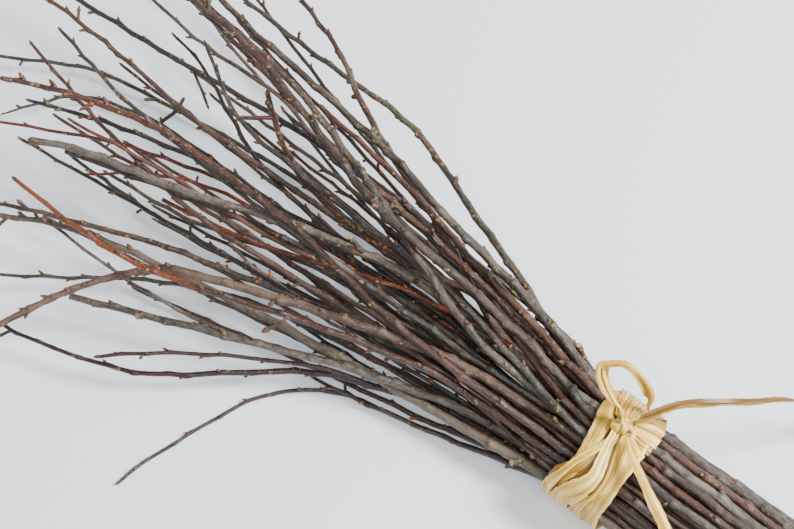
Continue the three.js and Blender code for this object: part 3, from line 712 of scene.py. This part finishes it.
# Each bark: old wood's dark and light, young wood's dark and light, its worn grey skin and how
# much of it there is, roughness, and how much lichen.
BARKS = {
    "bark_grey": ("150f0b", "483c30", "1a100a", "432f22", "74685a", 0.4, 0.5, 0.5),
    "bark_silver": ("221c18", "574e45", "221a14", "4c4139", "837a6e", 0.5, 0.45, 0.35),
    "bark_lilac": ("170d09", "463126", "1e0d06", "47291b", "786352", 0.4, 0.46, 0.5),
    "bark_brown": ("120a07", "39231a", "170906", "3f1e13", "604d41", 0.25, 0.45, 0.4),
    "bark_dark": ("0a0705", "261b16", "0c0705", "2a1b14", "4a3c33", 0.25, 0.4, 0.4),
    "bark_dark_red": ("180705", "3b1610", "100302", "320b08", "5c3830", 0.2, 0.28, 0.15),
    "bark_red": ("230903", "4e2618", "340902", "781f05", "74452e", 0.15, 0.3, 0.3),
    "bark_red_brown": ("170803", "3e241a", "1f0802", "521f0d", "6f4c33", 0.25, 0.38, 0.75),
    "bark_pink": ("1a0c07", "442a20", "281009", "5e2b1b", "816049", 0.22, 0.4, 0.5),
    "bark_orange": ("1a0a05", "3a1a10", "461800", "6e2e00", "5f4130", 0.08, 0.32, 0.4),
    "bark_olive": ("18160f", "423d2d", "18140d", "3f3628", "6a644f", 0.35, 0.5, 0.9),
    "bark_green": ("11130c", "323424", "13140c", "323424", "5a5a4b", 0.3, 0.5, 0.7),
}


def bark_finish(name, old_dark, old_light, young_dark, young_light, worn, wear, gloss, lichen):
    """The look of one kind of bark, from its row of BARKS."""
    material, shader, start = new_finish(name, gloss, Coat_Weight=0.12, Coat_Roughness=0.26)
    place = start.attribute("bark_place", "Vector")
    tone = start.attribute("tone")
    young = start.attribute("young")
    shift = tone.node("ShaderNodeCombineXYZ", {0: tone * 7.0, 1: tone * 3.0, 2: tone * 11.0})
    place = place.moved(shift)
    broad = place.stretched(1, 1, 0.35).noise(150, 2)
    mottled = place.stretched(1, 1, 0.5).noise(950, 4, 0.7)
    streaks = place.stretched(1, 1, 0.06).noise(2000, 2, 0.6)
    flecks = place.stretched(1, 1, 0.45).noise(2300, 2, 0.7).above(0.57, 0.66)
    grain = place.noise(2600, 2)
    depth = broad * 0.45 + mottled * 0.6 + streaks * 0.4 + tone * 0.22
    share = depth.above(0.66, 1.0)
    colour = young.blend(
        share.blend(tint(old_dark), tint(old_light)),
        share.blend(tint(young_dark), tint(young_light)),
    )
    rubbed = (broad * 0.5 + mottled * 0.45 + grain * 0.25 + tone * 0.15).above(0.7 - wear * 0.16, 0.86)
    colour = (rubbed * wear * (1 - young * 0.6)).blend(colour, tint(worn))
    colour = (flecks * (0.25 + rubbed * 0.4)).blend(colour, tint(worn))
    pores = place.stretched(1, 1, 0.8)
    chosen = pores.cells(640, "Color").noise(1, 0)
    pore = (1 - pores.cells(640).above(0.12, 0.2)) * chosen.above(0.5, 0.52)
    colour = (pore * 0.45).blend(colour, tint("a08c7a"))
    scar = start.attribute("scar")
    ringed = place.stretched(0.12, 0.12, 1).noise(1900, 1)
    dark_scar = (scar * (0.3 + ringed * 0.9)).above(0.25, 0.75)
    colour = (dark_scar * 0.6).blend(colour, tint("1c1310"))
    bud = start.attribute("bud")
    scales = (place.stretched(1, 1, 2.4).noise(1100, 2) + mottled * 0.4).above(0.6, 0.85)
    colour = (bud * 0.85).blend(colour, scales.blend(tint("20110a"), tint("6c4326")))
    spots = place.node("ShaderNodeTexCoord", {}, output=3)
    patches = spots.noise(42, 1) + scar * 0.28
    specks = 1 - spots.cells(420).above(0.22, 0.42)
    crust = patches.above(0.72 - lichen * 0.2, 0.78 - lichen * 0.12) * specks
    hue = spots.noise(75, 1).above(0.46, 0.54)
    colour = (crust * 0.9).blend(colour, hue.blend(tint("94521a"), tint("74723e")))
    wood = start.attribute("wood")
    rings = place.stretched(1, 1, 0).noise(2400, 2)
    colour = wood.blend(colour, rings.above(0.35, 0.65).blend(tint("a06c34"), tint("d0a468")))
    feed(shader, "Base Color", colour)
    rough = gloss - 0.14 + rubbed * 0.22 + crust * 0.3 + mottled * 0.14
    feed(shader, "Roughness", rough.clamped())
    cracks = place.stretched(1, 1, 0.25).noise(900, 3, 0.65)
    height = streaks * 0.6 + cracks * 0.7 + mottled * 0.7 + flecks * 0.25 + pore * 0.3 + crust * 0.8
    bump(shader, height + ringed * scar * 0.9, 0.45 * MM, 1.0)
    return material


bark_of = {name: bark_finish(name, *look) for name, look in BARKS.items()}
slot_of = {part["node"]: part["material_slot"] for part in frame["record"]["subparts"]}
twig_nodes = [node for node in slot_of if node.startswith("twig")]
for number, node in enumerate(twig_nodes):
    twig = grow_twig(node, number, slot_of)
    twig.data.materials.clear()
    twig.data.materials.append(bark_of[slot_of[node]])
    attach(twig, "root")
    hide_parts(node)
for pattern in GROWTHS.values():
    bpy.data.objects.remove(pattern)


# Raffia wrap
# Long strips of dried palm leaf, drawn several times round the bundle. They lie flat under it,
# fold over each other along the front, fan out at the right and gather under the knot on top.
TIE_HALF_WIDTH = 24.5
TIE_HALF_HEIGHT = 19.2
TIE_CENTRE_HEIGHT = 18.2
TIE_SQUARENESS = 2.5
STRIP_CORNERS = 11
STRIP_STEP = 1.0
LEAST_HEIGHT = 0.12
LEAF_THICKNESS = 0.4
EASING = 2.2
CREASE = 9
# A strip whose last angle is between these ends under the bundle.
UNDER_FROM = 100
UNDER_TO = 300
# Under the bundle and up behind it to the knot: angle, share of x, share of width, lift.
BEHIND = [
    (250, 0.97, 1.05, -0.3), (330, 0.95, 1, -0.3), (385, 0.85, 0.95, 0.2), (420, 0.5, 0.8, 1.1),
    (438, 0.2, 0.5, 2.3),
]
# Each strip: painted light and tone, pleats, depth of them, then its way as (angle, x, half width,
# lift), millimetres. The angle is 76 at the knot and grows over the front and under the bundle.
# The first number paints light and shade into the strip's colour. It is low for strips in shade and
# for the under strips that show as dark gaps, and 1 for the brightest strip, painted as a highlight.
# A little of it is the straw's own tone.
WRAP_STRIPS = {
    "under_left": (0.3, 2, 0.1, [
        (76, -9.2, 3, -1), (90, -6.4, 3, -1.1), (105, -5.2, 3.2, -1.1), (120, -3.6, 3.4, -1.1),
        (135, -5, 3.6, -1.1), (150, -8, 4, -1.1), (180, -9, 4.4, -1.1),
    ]),
    "under_middle": (0.3, 3, 0.1, [
        (76, 0, 4, -1), (90, 0.5, 4.5, -1.1), (105, 1.5, 4.6, -1.1), (120, 2, 5, -1.1),
        (150, 0, 5.4, -1.1), (180, 0, 5, -1.1),
    ]),
    "under_right": (0.35, 2, 0.1, [
        (76, 8, 4, -1), (90, 8.4, 4, -1.1), (120, 9, 4, -1.1), (150, 8.2, 4.2, -1.1),
        (180, 6.8, 3.6, -1.1),
    ]),
    "left_flat": (0.66, 1, 0.12, [
        (40, -9, 3.2, 0.2), (62, -9.6, 3.2, 0.5), (76, -9.2, 3.2, 0.5), (90, -6.5, 3.1, 0.4),
        (105, -5.3, 3.1, 0), (120, -4.2, 2.8, -0.4), (150, -7.6, 2.8, -0.6), (185, -9.4, 3, -0.6),
    ]),
    "left_ridge": (0.95, 1, 0.4, [
        (90, -0.4, 1.1, 2.4), (103, -2, 1.3, 1.9), (111, -3.5, 1.3, 1.7), (123, -5.7, 1.3, 1.6),
        (136, -7.2, 1.4, 1.4), (150, -8.8, 1.6, 1.3), (165, -10.4, 2.2, 1), (182, -11.4, 2.5, 0.6),
        (205, -11.4, 2.8, 0.1),
    ]),
    "deep_fold": (0.22, 1, 0.2, [
        (95, -0.2, 1.6, 0.6), (110, -0.9, 2.3, 0.2), (128, -2.2, 2.8, -0.1), (150, -5.6, 2.8, -0.2),
        (180, -8, 3, -0.2),
    ]),
    "front_bright": (1.0, 2, 0.16, [
        (80, -1.6, 1.3, 3.0), (92, -0.1, 1.7, 2.5), (100, 0.9, 1.9, 2.1), (108, 1.9, 2.1, 1.8),
        (122, 3.7, 2.5, 1.5), (134, 3.2, 3.4, 1.5), (150, 0.4, 4.1, 1.4), (172, -4.2, 4.3, 1.1),
        (195, -5.4, 4, 0.3),
    ]),
    "front_shadow": (0.38, 1, 0.2, [
        (82, 1.2, 1.4, 2.1), (98, 3.8, 2.2, 1.5), (117, 6.8, 2.6, 1), (142, 6, 2.8, 0.7),
        (170, 3.6, 2.8, 0.5),
    ]),
    "front_thin": (0.8, 1, 0.4, [
        (80, 1.4, 0.8, 2.8), (94, 3.6, 0.9, 2.3), (108, 6.4, 1, 1.6), (124, 8, 1, 1.2),
        (142, 7.6, 1.2, 1), (170, 5, 1.4, 0.6),
    ]),
    "front_khaki": (0.6, 1, 0.14, [
        (78, 3.2, 1.4, 2.6), (90, 6.3, 2.1, 1.5), (107, 9, 2.5, 0.8), (125, 10, 2.6, 0.5),
        (142, 9.4, 2.8, 0.4), (170, 7, 3, 0.3),
    ]),
    "low_flap": (0.7, 2, 0.12, [
        (148, 7, 1.8, 0.9), (160, 5.4, 2.8, 1), (175, 4, 3.8, 0.9), (195, 3.4, 4, 0.3),
    ]),
    "right_pale": (0.92, 1, 0.08, [
        (80, 10.4, 1.8, 0.9), (92, 11.2, 2.1, 0.9), (108, 11.5, 2.2, 0.8), (135, 11.6, 2.2, 0.7),
        (160, 11, 2.1, 0.6), (185, 10.2, 2.1, 0.2), (250, 10, 2.2, -0.3), (330, 8.8, 2.2, -0.3),
        (385, 6, 2, 0.1), (420, 3.4, 1.6, 1), (438, 1.4, 1, 2),
    ]),
    "back_left": (0.6, 3, 0.22, [
        (78, -3, 1.6, 2.2), (64, -5.4, 2.6, 1.9), (50, -6.6, 3, 1.5), (34, -6.8, 3.2, 1.1),
        (10, -7, 3.4, 0.5), (-70, -7, 3.4, 0),
    ]),
    "back_middle": (0.65, 3, 0.22, [
        (77, -0.6, 1.6, 2.4), (64, -1, 2.4, 1.9), (50, -1.2, 2.8, 1.4), (30, -1.2, 3, 0.9),
        (10, -1, 3.2, 0.5), (-70, 0, 3.4, 0),
    ]),
    "back_right": (0.75, 3, 0.22, [
        (76, 1.6, 1.6, 2.2), (62, 4, 2.4, 1.7), (46, 4.8, 2.8, 1.2), (26, 5.2, 3, 0.8),
        (6, 6, 3.2, 0.4), (-70, 7, 3.4, 0),
    ]),
    "fan_far": (0.55, 2, 0.22, [
        (74, 1.6, 1.2, 2.2), (62, 4, 1.8, 1.6), (52, 7, 2.3, 1.2), (46, 10.2, 2.4, 0.8),
        (44, 12.4, 2.2, -0.3),
    ]),
    "fan_upper": (0.8, 1, 0.24, [
        (75, 2, 1.1, 2.5), (67, 5, 1.9, 2), (60, 8.6, 2.5, 1.5), (57, 12, 2.6, 1),
        (56, 13.8, 2.4, -0.4),
    ]),
    "fan_middle": (0.5, 2, 0.22, [
        (76, 2.2, 1, 2.2), (72, 6, 1.7, 1.6), (68, 10, 2.2, 1.1), (66, 13, 2.4, 0.8),
        (65, 14.4, 2.2, -0.4),
    ]),
    "fan_lower": (0.85, 1, 0.24, [
        (78, 2.4, 1, 2.5), (78, 6.2, 1.8, 2), (76, 10.4, 2.4, 1.6), (74, 13.4, 2.5, 1.1),
        (74, 15, 2.3, -0.3),
    ]),
    "fan_low": (0.6, 2, 0.22, [
        (80, 2.6, 1, 2.1), (83, 6.2, 1.7, 1.6), (84, 10.4, 2.2, 1.1), (83, 13.4, 2.4, 0.7),
        (83, 14.8, 2.2, -0.3),
    ]),
    "fan_base": (0.8, 1, 0.2, [
        (84, 3.8, 1, 2.3), (88, 7, 1.6, 1.9), (91, 10.6, 2.2, 1.5), (91, 13, 2.4, 1),
        (91, 14, 2.2, -0.3),
    ]),
}


def through(points, count):
    """A smooth way through a few points, in even steps along it."""
    points = np.array(points, float)
    gaps = np.linalg.norm(np.diff(points, axis=0), axis=1)
    far = np.concatenate([[0], np.cumsum(gaps ** 0.5)])
    slope = np.gradient(points, far, axis=0)
    dense = np.linspace(0, far[-1], 40 * len(points))
    pick = np.clip(np.searchsorted(far, dense, side="right") - 1, 0, len(far) - 2)
    gap = (far[pick + 1] - far[pick])[:, None]
    share = ((dense - far[pick]) / gap[:, 0])[:, None]
    line = (
        points[pick] * (1 + 2 * share) * (1 - share) ** 2
        + points[pick + 1] * share ** 2 * (3 - 2 * share)
        + slope[pick] * gap * share * (1 - share) ** 2
        - slope[pick + 1] * gap * share ** 2 * (1 - share)
    )
    run = lengths_along(line)
    even = np.linspace(0, run[-1], count)
    return np.column_stack([np.interp(even, run, line[:, k]) for k in range(3)])


def ribbon(name, centres, out, half_width, pleats, painted_light_and_tone, chance, fold):
    """A strip of leaf along a line of centres, creased lengthwise, thin at its edges."""
    along = np.gradient(centres, axis=0)
    along /= np.linalg.norm(along, axis=1)[:, None]
    across = np.cross(along, out)
    across /= np.linalg.norm(across, axis=1)[:, None]
    out = np.cross(across, along)
    run = lengths_along(centres)
    wide = np.linspace(-1, 1, STRIP_CORNERS)
    start = chance.uniform(0, 6.28)
    drift = chance.uniform(-22, 22)
    phase = math.pi * pleats * wide[None, :] + start + drift * run[:, None]
    wave = np.arcsin(np.sin(phase)) * 2 / math.pi
    slow = np.sin(run * chance.uniform(150, 260) + start)[:, None]
    height = wave * half_width[:, None] * fold * (0.8 + 0.35 * slow)
    height = height + 0.1 * half_width[:, None] * (wide[None, :] ** 2) * slow
    edge = 1 + 0.07 * np.sin(run * chance.uniform(300, 500) + start)
    edge = edge + 0.04 * np.sin(run * 1400 + start * 2)
    body = LEAF_THICKNESS * MM / 2 * (1 - 0.7 * np.abs(wide) ** 4)
    columns = np.concatenate([wide, wide[::-1]])
    section = np.concatenate([height + body, (height - body)[:, ::-1]], axis=1)
    shape = (
        centres[:, None, :]
        + across[:, None, :] * (columns[None, :] * (half_width * edge)[:, None])[:, :, None]
        + out[:, None, :] * section[:, :, None]
    )
    ends = [np.broadcast_to(shape[row].mean(0), shape[row].shape)[None] for row in (0, -1)]
    shape = np.concatenate([ends[0], shape, ends[1]])
    shape[:, :, 2] = np.maximum(shape[:, :, 2], LEAST_HEIGHT * MM)
    # Painted shade: 1 down in each crease and 0 on each ridge, so that the material darkens the
    # creases.
    painted_crease_shade = np.concatenate([0.5 - 0.5 * wave, 0.5 - 0.5 * wave[:, ::-1]], axis=1)
    painted_crease_shade = np.concatenate([painted_crease_shade[:1], painted_crease_shade, painted_crease_shade[-1:]])
    run = np.concatenate([run[:1], run, run[-1:]])
    widths = np.concatenate([half_width[:1], half_width, half_width[-1:]])
    place = np.stack([
        columns[None, :] * widths[:, None],
        run[:, None] + 0 * columns[None, :],
        chance.random() + 0 * painted_crease_shade,
    ], axis=2)
    # The strip's painted light and tone goes with it to the material, where it paints light and shade.
    return rolled(name, shape, {
        "leaf_place": place,
        "painted_crease_shade": painted_crease_shade,
        "painted_light_and_tone": painted_light_and_tone + 0 * painted_crease_shade,
    }, CREASE)


def outline_point(angle, lift):
    """A place on the outline of the tie across the bundle, and the way out from it."""
    turn = np.radians(angle)
    cosine, sine = np.cos(turn), np.sin(turn)
    power = 2 / TIE_SQUARENESS
    y = np.sign(cosine) * np.abs(cosine) ** power * TIE_HALF_WIDTH
    z = np.sign(sine) * np.abs(sine) ** power * TIE_HALF_HEIGHT
    out_y = np.sign(y) * np.abs(y / TIE_HALF_WIDTH) ** (TIE_SQUARENESS - 1) / TIE_HALF_WIDTH
    out_z = np.sign(z) * np.abs(z / TIE_HALF_HEIGHT) ** (TIE_SQUARENESS - 1) / TIE_HALF_HEIGHT
    size = np.hypot(out_y, out_z)
    out_y, out_z = out_y / size, out_z / size
    height = np.maximum(TIE_CENTRE_HEIGHT + z, 0.5)
    return y + out_y * lift, np.maximum(height + out_z * lift, 0.5), out_y, out_z


def wrap_strip(name, painted_light_and_tone, pleats, fold, way):
    """One strip of the wrap, its corners eased. One that goes under goes on up behind."""
    chance = random.Random(name)
    last, x, half, _ = way[-1]
    if UNDER_FROM < last < UNDER_TO:
        way = way + [(angle, x * shift, half * share, lift) for angle, shift, share, lift in BEHIND]
    way = np.array(way, float)
    y, z, _, _ = outline_point(way[:, 0], way[:, 3])
    run = lengths_along(np.column_stack([way[:, 1], y, z]))
    fine = np.linspace(0, run[-1], int(run[-1] / STRIP_STEP))
    reach = int(3 * EASING / STRIP_STEP)
    soft = np.exp(-0.5 * (np.arange(-reach, reach + 1) * STRIP_STEP / EASING) ** 2)
    soft /= soft.sum()
    padded = [np.pad(np.interp(fine, run, column), reach, mode="edge") for column in way.T]
    angle, x, half, lift = [np.convolve(column, soft, "valid") for column in padded]
    y, z, out_y, out_z = outline_point(angle, lift)
    centres = np.column_stack([x, y, z]) * MM
    out = np.column_stack([np.zeros_like(x), out_y, out_z])
    return ribbon(name, centres, out, half * MM, pleats, painted_light_and_tone, chance, fold)


def raffia_finish():
    material, shader, start = new_finish("raffia", 0.4)
    place = start.attribute("leaf_place", "Vector")
    painted_light_and_tone = start.attribute("painted_light_and_tone")
    # Painted shade down in the creases of the pleats.
    painted_crease_shade = start.attribute("painted_crease_shade")
    fibres = place.stretched(1, 0.03, 1).noise(3000, 3, 0.7)
    bands = place.stretched(1, 0.06, 1).noise(650, 2)
    blotch = place.noise(130, 2)
    # Painted light and shade. Each strip's painted light and tone makes shaded strips deep ochre and
    # lit ones pale cream. The top step, near white, is a painted highlight on the brightest strip. The
    # painted crease shade darkens the colour down in the creases. Fibres, bands and blotches are the
    # leaf's own grain.
    depth = painted_light_and_tone * 0.8 + bands * 0.9 + fibres * 0.5 + blotch * 0.4 - painted_crease_shade * 0.3
    colour = depth.above(0.72, 1.36).blend(tint("64440c"), tint("b68e2c"))
    colour = depth.above(1.22, 1.75).blend(colour, tint("f2d06c"))
    colour = depth.above(1.6, 1.9).blend(colour, tint("fff8bc"))
    colour = (blotch.above(0.6, 0.75) * 0.15).blend(colour, tint("e8cba4"))
    feed(shader, "Base Color", colour)
    feed(shader, "Roughness", 0.34 + fibres * 0.25)
    bump(shader, fibres * 0.7 + bands * 0.5, 0.2 * MM, 0.7)
    return material


raffia = raffia_finish()


def raffia_piece(piece, node):
    piece.data.materials.clear()
    piece.data.materials.append(raffia)
    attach(piece, "root")
    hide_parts(node)


wrap = joined("raffia_wrap_strips", [
    wrap_strip("strip_" + name, *facts) for name, facts in WRAP_STRIPS.items()
])
raffia_piece(wrap, "raffia_wrap")


# Raffia knot
# The strips' ends are crossed over twice and pulled tight into a small hard knot.
KNOT_MIDDLE = (-0.4, 5, 40.6)
# Each turn: two half axes, turn about the way up, tilt, half width, painted light and tone (light and
# shade painted into its colour).
KNOT_TURNS = [
    (4.2, 1.5, 30, 14, 2.2, 0.75), (3.8, 1.8, 128, -10, 1.9, 0.5), (3.4, 1.7, 80, 18, 1.5, 0.95),
    (3.0, 2.1, 165, 6, 1.1, 0.85),
]
KNOT_FOLD = 0.2


def knot_turn(number, long_axis, high_axis, heading, tilt, half, painted_light_and_tone):
    chance = random.Random(40 + number)
    angle = np.linspace(0, 2 * math.pi * 1.04, 44)
    flat = np.column_stack([np.cos(angle) * long_axis, 0 * angle, np.sin(angle) * high_axis])
    outward = np.column_stack([np.cos(angle) / long_axis, 0 * angle, np.sin(angle) / high_axis])
    turn = Matrix.Rotation(math.radians(heading), 3, "Z") @ Matrix.Rotation(math.radians(tilt), 3, "X")
    turn = np.array(turn)
    centres = (flat @ turn.T + np.array(KNOT_MIDDLE)) * MM
    width = np.full(len(angle), half * MM) * (0.85 + 0.15 * np.cos(2 * angle))
    return ribbon(f"knot_turn_{number}", centres, outward @ turn.T, width, 1, painted_light_and_tone, chance, KNOT_FOLD)


knot = joined("raffia_knot_turns", [knot_turn(i, *facts) for i, facts in enumerate(KNOT_TURNS)])
raffia_piece(knot, "raffia_knot")


# Raffia loop and tails
# One strip stands up behind the knot as a loop, doubled on its near side, and its two ends run
# out over the surface. They are the same leaf, creased along their length and a little twisted.
LOOSE_FOLD = 0.24
LOOP_ROUTE = [
    (-3, 6.4, 42), (-4.6, 7.4, 46), (-8, 7.2, 49.6), (-12, 8, 52.8), (-16.2, 10.6, 55.6),
    (-17.4, 12.6, 56.8), (-16.6, 14, 57.4), (-12.6, 17.8, 57.6), (-10.6, 19, 57), (-8.8, 19.4, 56),
    (-5, 19.5, 53.8), (-1, 19.2, 50.4), (1.6, 19, 45.6), (2.4, 18.2, 38),
]
LOOP_DOUBLE = [
    (-0.8, 5.6, 43), (-2.4, 7.2, 46), (-6.4, 7.6, 49.4), (-11, 9, 53), (-15, 11.4, 55.8),
    (-16, 13, 56.8),
]
TAIL_RIGHT_ROUTE = [
    (4.6, 9.6, 45.2), (7, 13.6, 46.2), (9.6, 18, 47), (12.2, 22.2, 47.3), (16, 26.6, 47),
    (22.4, 33, 45.5), (29.2, 40.4, 43.5), (37, 49.6, 40.5), (44, 58, 36.5), (51, 66, 30),
    (57.5, 74, 20), (63, 81, 10.5), (70, 88, 4.2), (78, 95, 2.7), (89, 104, 2.5),
]
TAIL_LOW_ROUTE = [
    (4.5, 0.5, 43.4), (9, -3.5, 44.6), (16, -8, 45), (25, -13, 44), (36, -18.5, 41.5),
    (46, -26, 37), (54, -34, 29), (60, -40, 19), (65, -45, 9.5), (71, -50, 4), (79, -55, 2.7),
    (89, -61, 2.5),
]


def loose_strip(name, route, twists, half_widths, painted_light_and_tone, number):
    """A free strip along its route, turned about it by a few degrees here and there."""
    chance = random.Random(number)
    centres = through(np.array(route) * MM, max(60, len(route) * 9))
    share = np.linspace(0, 1, len(centres))
    _, side, up = rod_frames(centres)
    turn = np.radians(np.interp(share, np.linspace(0, 1, len(twists)), twists))
    out = up * np.cos(turn)[:, None] + side * np.sin(turn)[:, None]
    half = np.interp(share, np.linspace(0, 1, len(half_widths)), half_widths) * MM
    return ribbon(name, centres, out, half, 1, painted_light_and_tone, chance, LOOSE_FOLD), centres


# The number before the last is the strip's painted light and tone: light and shade painted into its
# colour.
loop, _ = loose_strip(
    "raffia_loop_strip", LOOP_ROUTE, [-70, -50, -20, 20, 30, 10, -30, -60, -80],
    [1.6, 2.4, 2.5, 2.2, 1.9, 2.0, 1.7], 0.62, 61,
)
double, _ = loose_strip("raffia_loop_double", LOOP_DOUBLE, [-60, -40, -10], [1.2, 1.6, 1.3], 0.75, 64)
raffia_piece(joined("raffia_loop_strip", [loop, double]), "raffia_loop")


def tail(name, node, route, twists, half_widths, painted_light_and_tone, number):
    piece, centres = loose_strip(name, route, twists, half_widths, painted_light_and_tone, number)
    raffia_piece(piece, node)


# The number before the last is each tail's painted light and tone: light and shade painted into its
# colour.
tail(
    "raffia_tail_right_strip", "raffia_tail_right", TAIL_RIGHT_ROUTE,
    [0, 10, 30, 50, 20, 0, 0], [1.5, 2.0, 2.1, 2.2, 2.2, 2.2, 1.9], 0.08, 62,
)
tail(
    "raffia_tail_low_strip", "raffia_tail_low", TAIL_LOW_ROUTE,
    [30, 10, -10, 0, 10, 0, 0], [1.3, 2.0, 2.4, 2.5, 2.4, 2.3, 2.0], 0.76, 63,
)


# Floor and light
# A plain pale surface that glows a little, so that its shadows stay faint, under daylight from a
# window behind and above and from the room.
bpy.ops.object.select_all(action="DESELECT")
bpy.ops.mesh.primitive_plane_add(size=8, location=(0, 0, 0))
floor = bpy.context.object
floor.name = "floor"
floor_finish, _, _ = new_finish(
    "floor_paper", 0.9, Base_Color=tint("c2c8ce"), Emission_Color=tint("e6ecf4"),
    Emission_Strength=0.36,
)
floor.data.materials.append(floor_finish)

world = bpy.data.worlds.new("daylight")
bpy.context.scene.world = world
world.use_nodes = True
world.node_tree.nodes["Background"].inputs["Color"].default_value = tint("f2f2f2")
world.node_tree.nodes["Background"].inputs["Strength"].default_value = 0.82


def soft_light(name, place, aim, size, watts, colour):
    light = bpy.data.lights.new(name, "AREA")
    light.shape = "DISK"
    light.size = size
    light.energy = watts
    light.color = colour
    holder = bpy.data.objects.new(name, light)
    bpy.context.collection.objects.link(holder)
    holder.location = place
    holder.rotation_euler = (Vector(aim) - Vector(place)).to_track_quat("-Z", "Y").to_euler()


soft_light("window", (0.52, 0.48, 0.9), (-0.05, 0, 0), 0.4, 41, (1.0, 0.98, 0.95))
soft_light("room", (0.3, -0.35, 0.95), (-0.1, 0, 0), 0.6, 7, (1.0, 0.99, 0.97))


# Camera
# It stands in front of the butts and looks steeply down on the bundle.
camera_data = bpy.data.cameras.new("camera")
camera_data.lens = 50
camera_data.sensor_width = 23.6
camera = bpy.data.objects.new("camera", camera_data)
bpy.context.collection.objects.link(camera)
camera.location = (0.1054, -0.2538, 0.6235)
target = Vector((-0.126, 0.022, 0))
camera.rotation_euler = (target - camera.location).to_track_quat("-Z", "Y").to_euler()
camera_data.clip_start = 0.01
bpy.context.scene.camera = camera
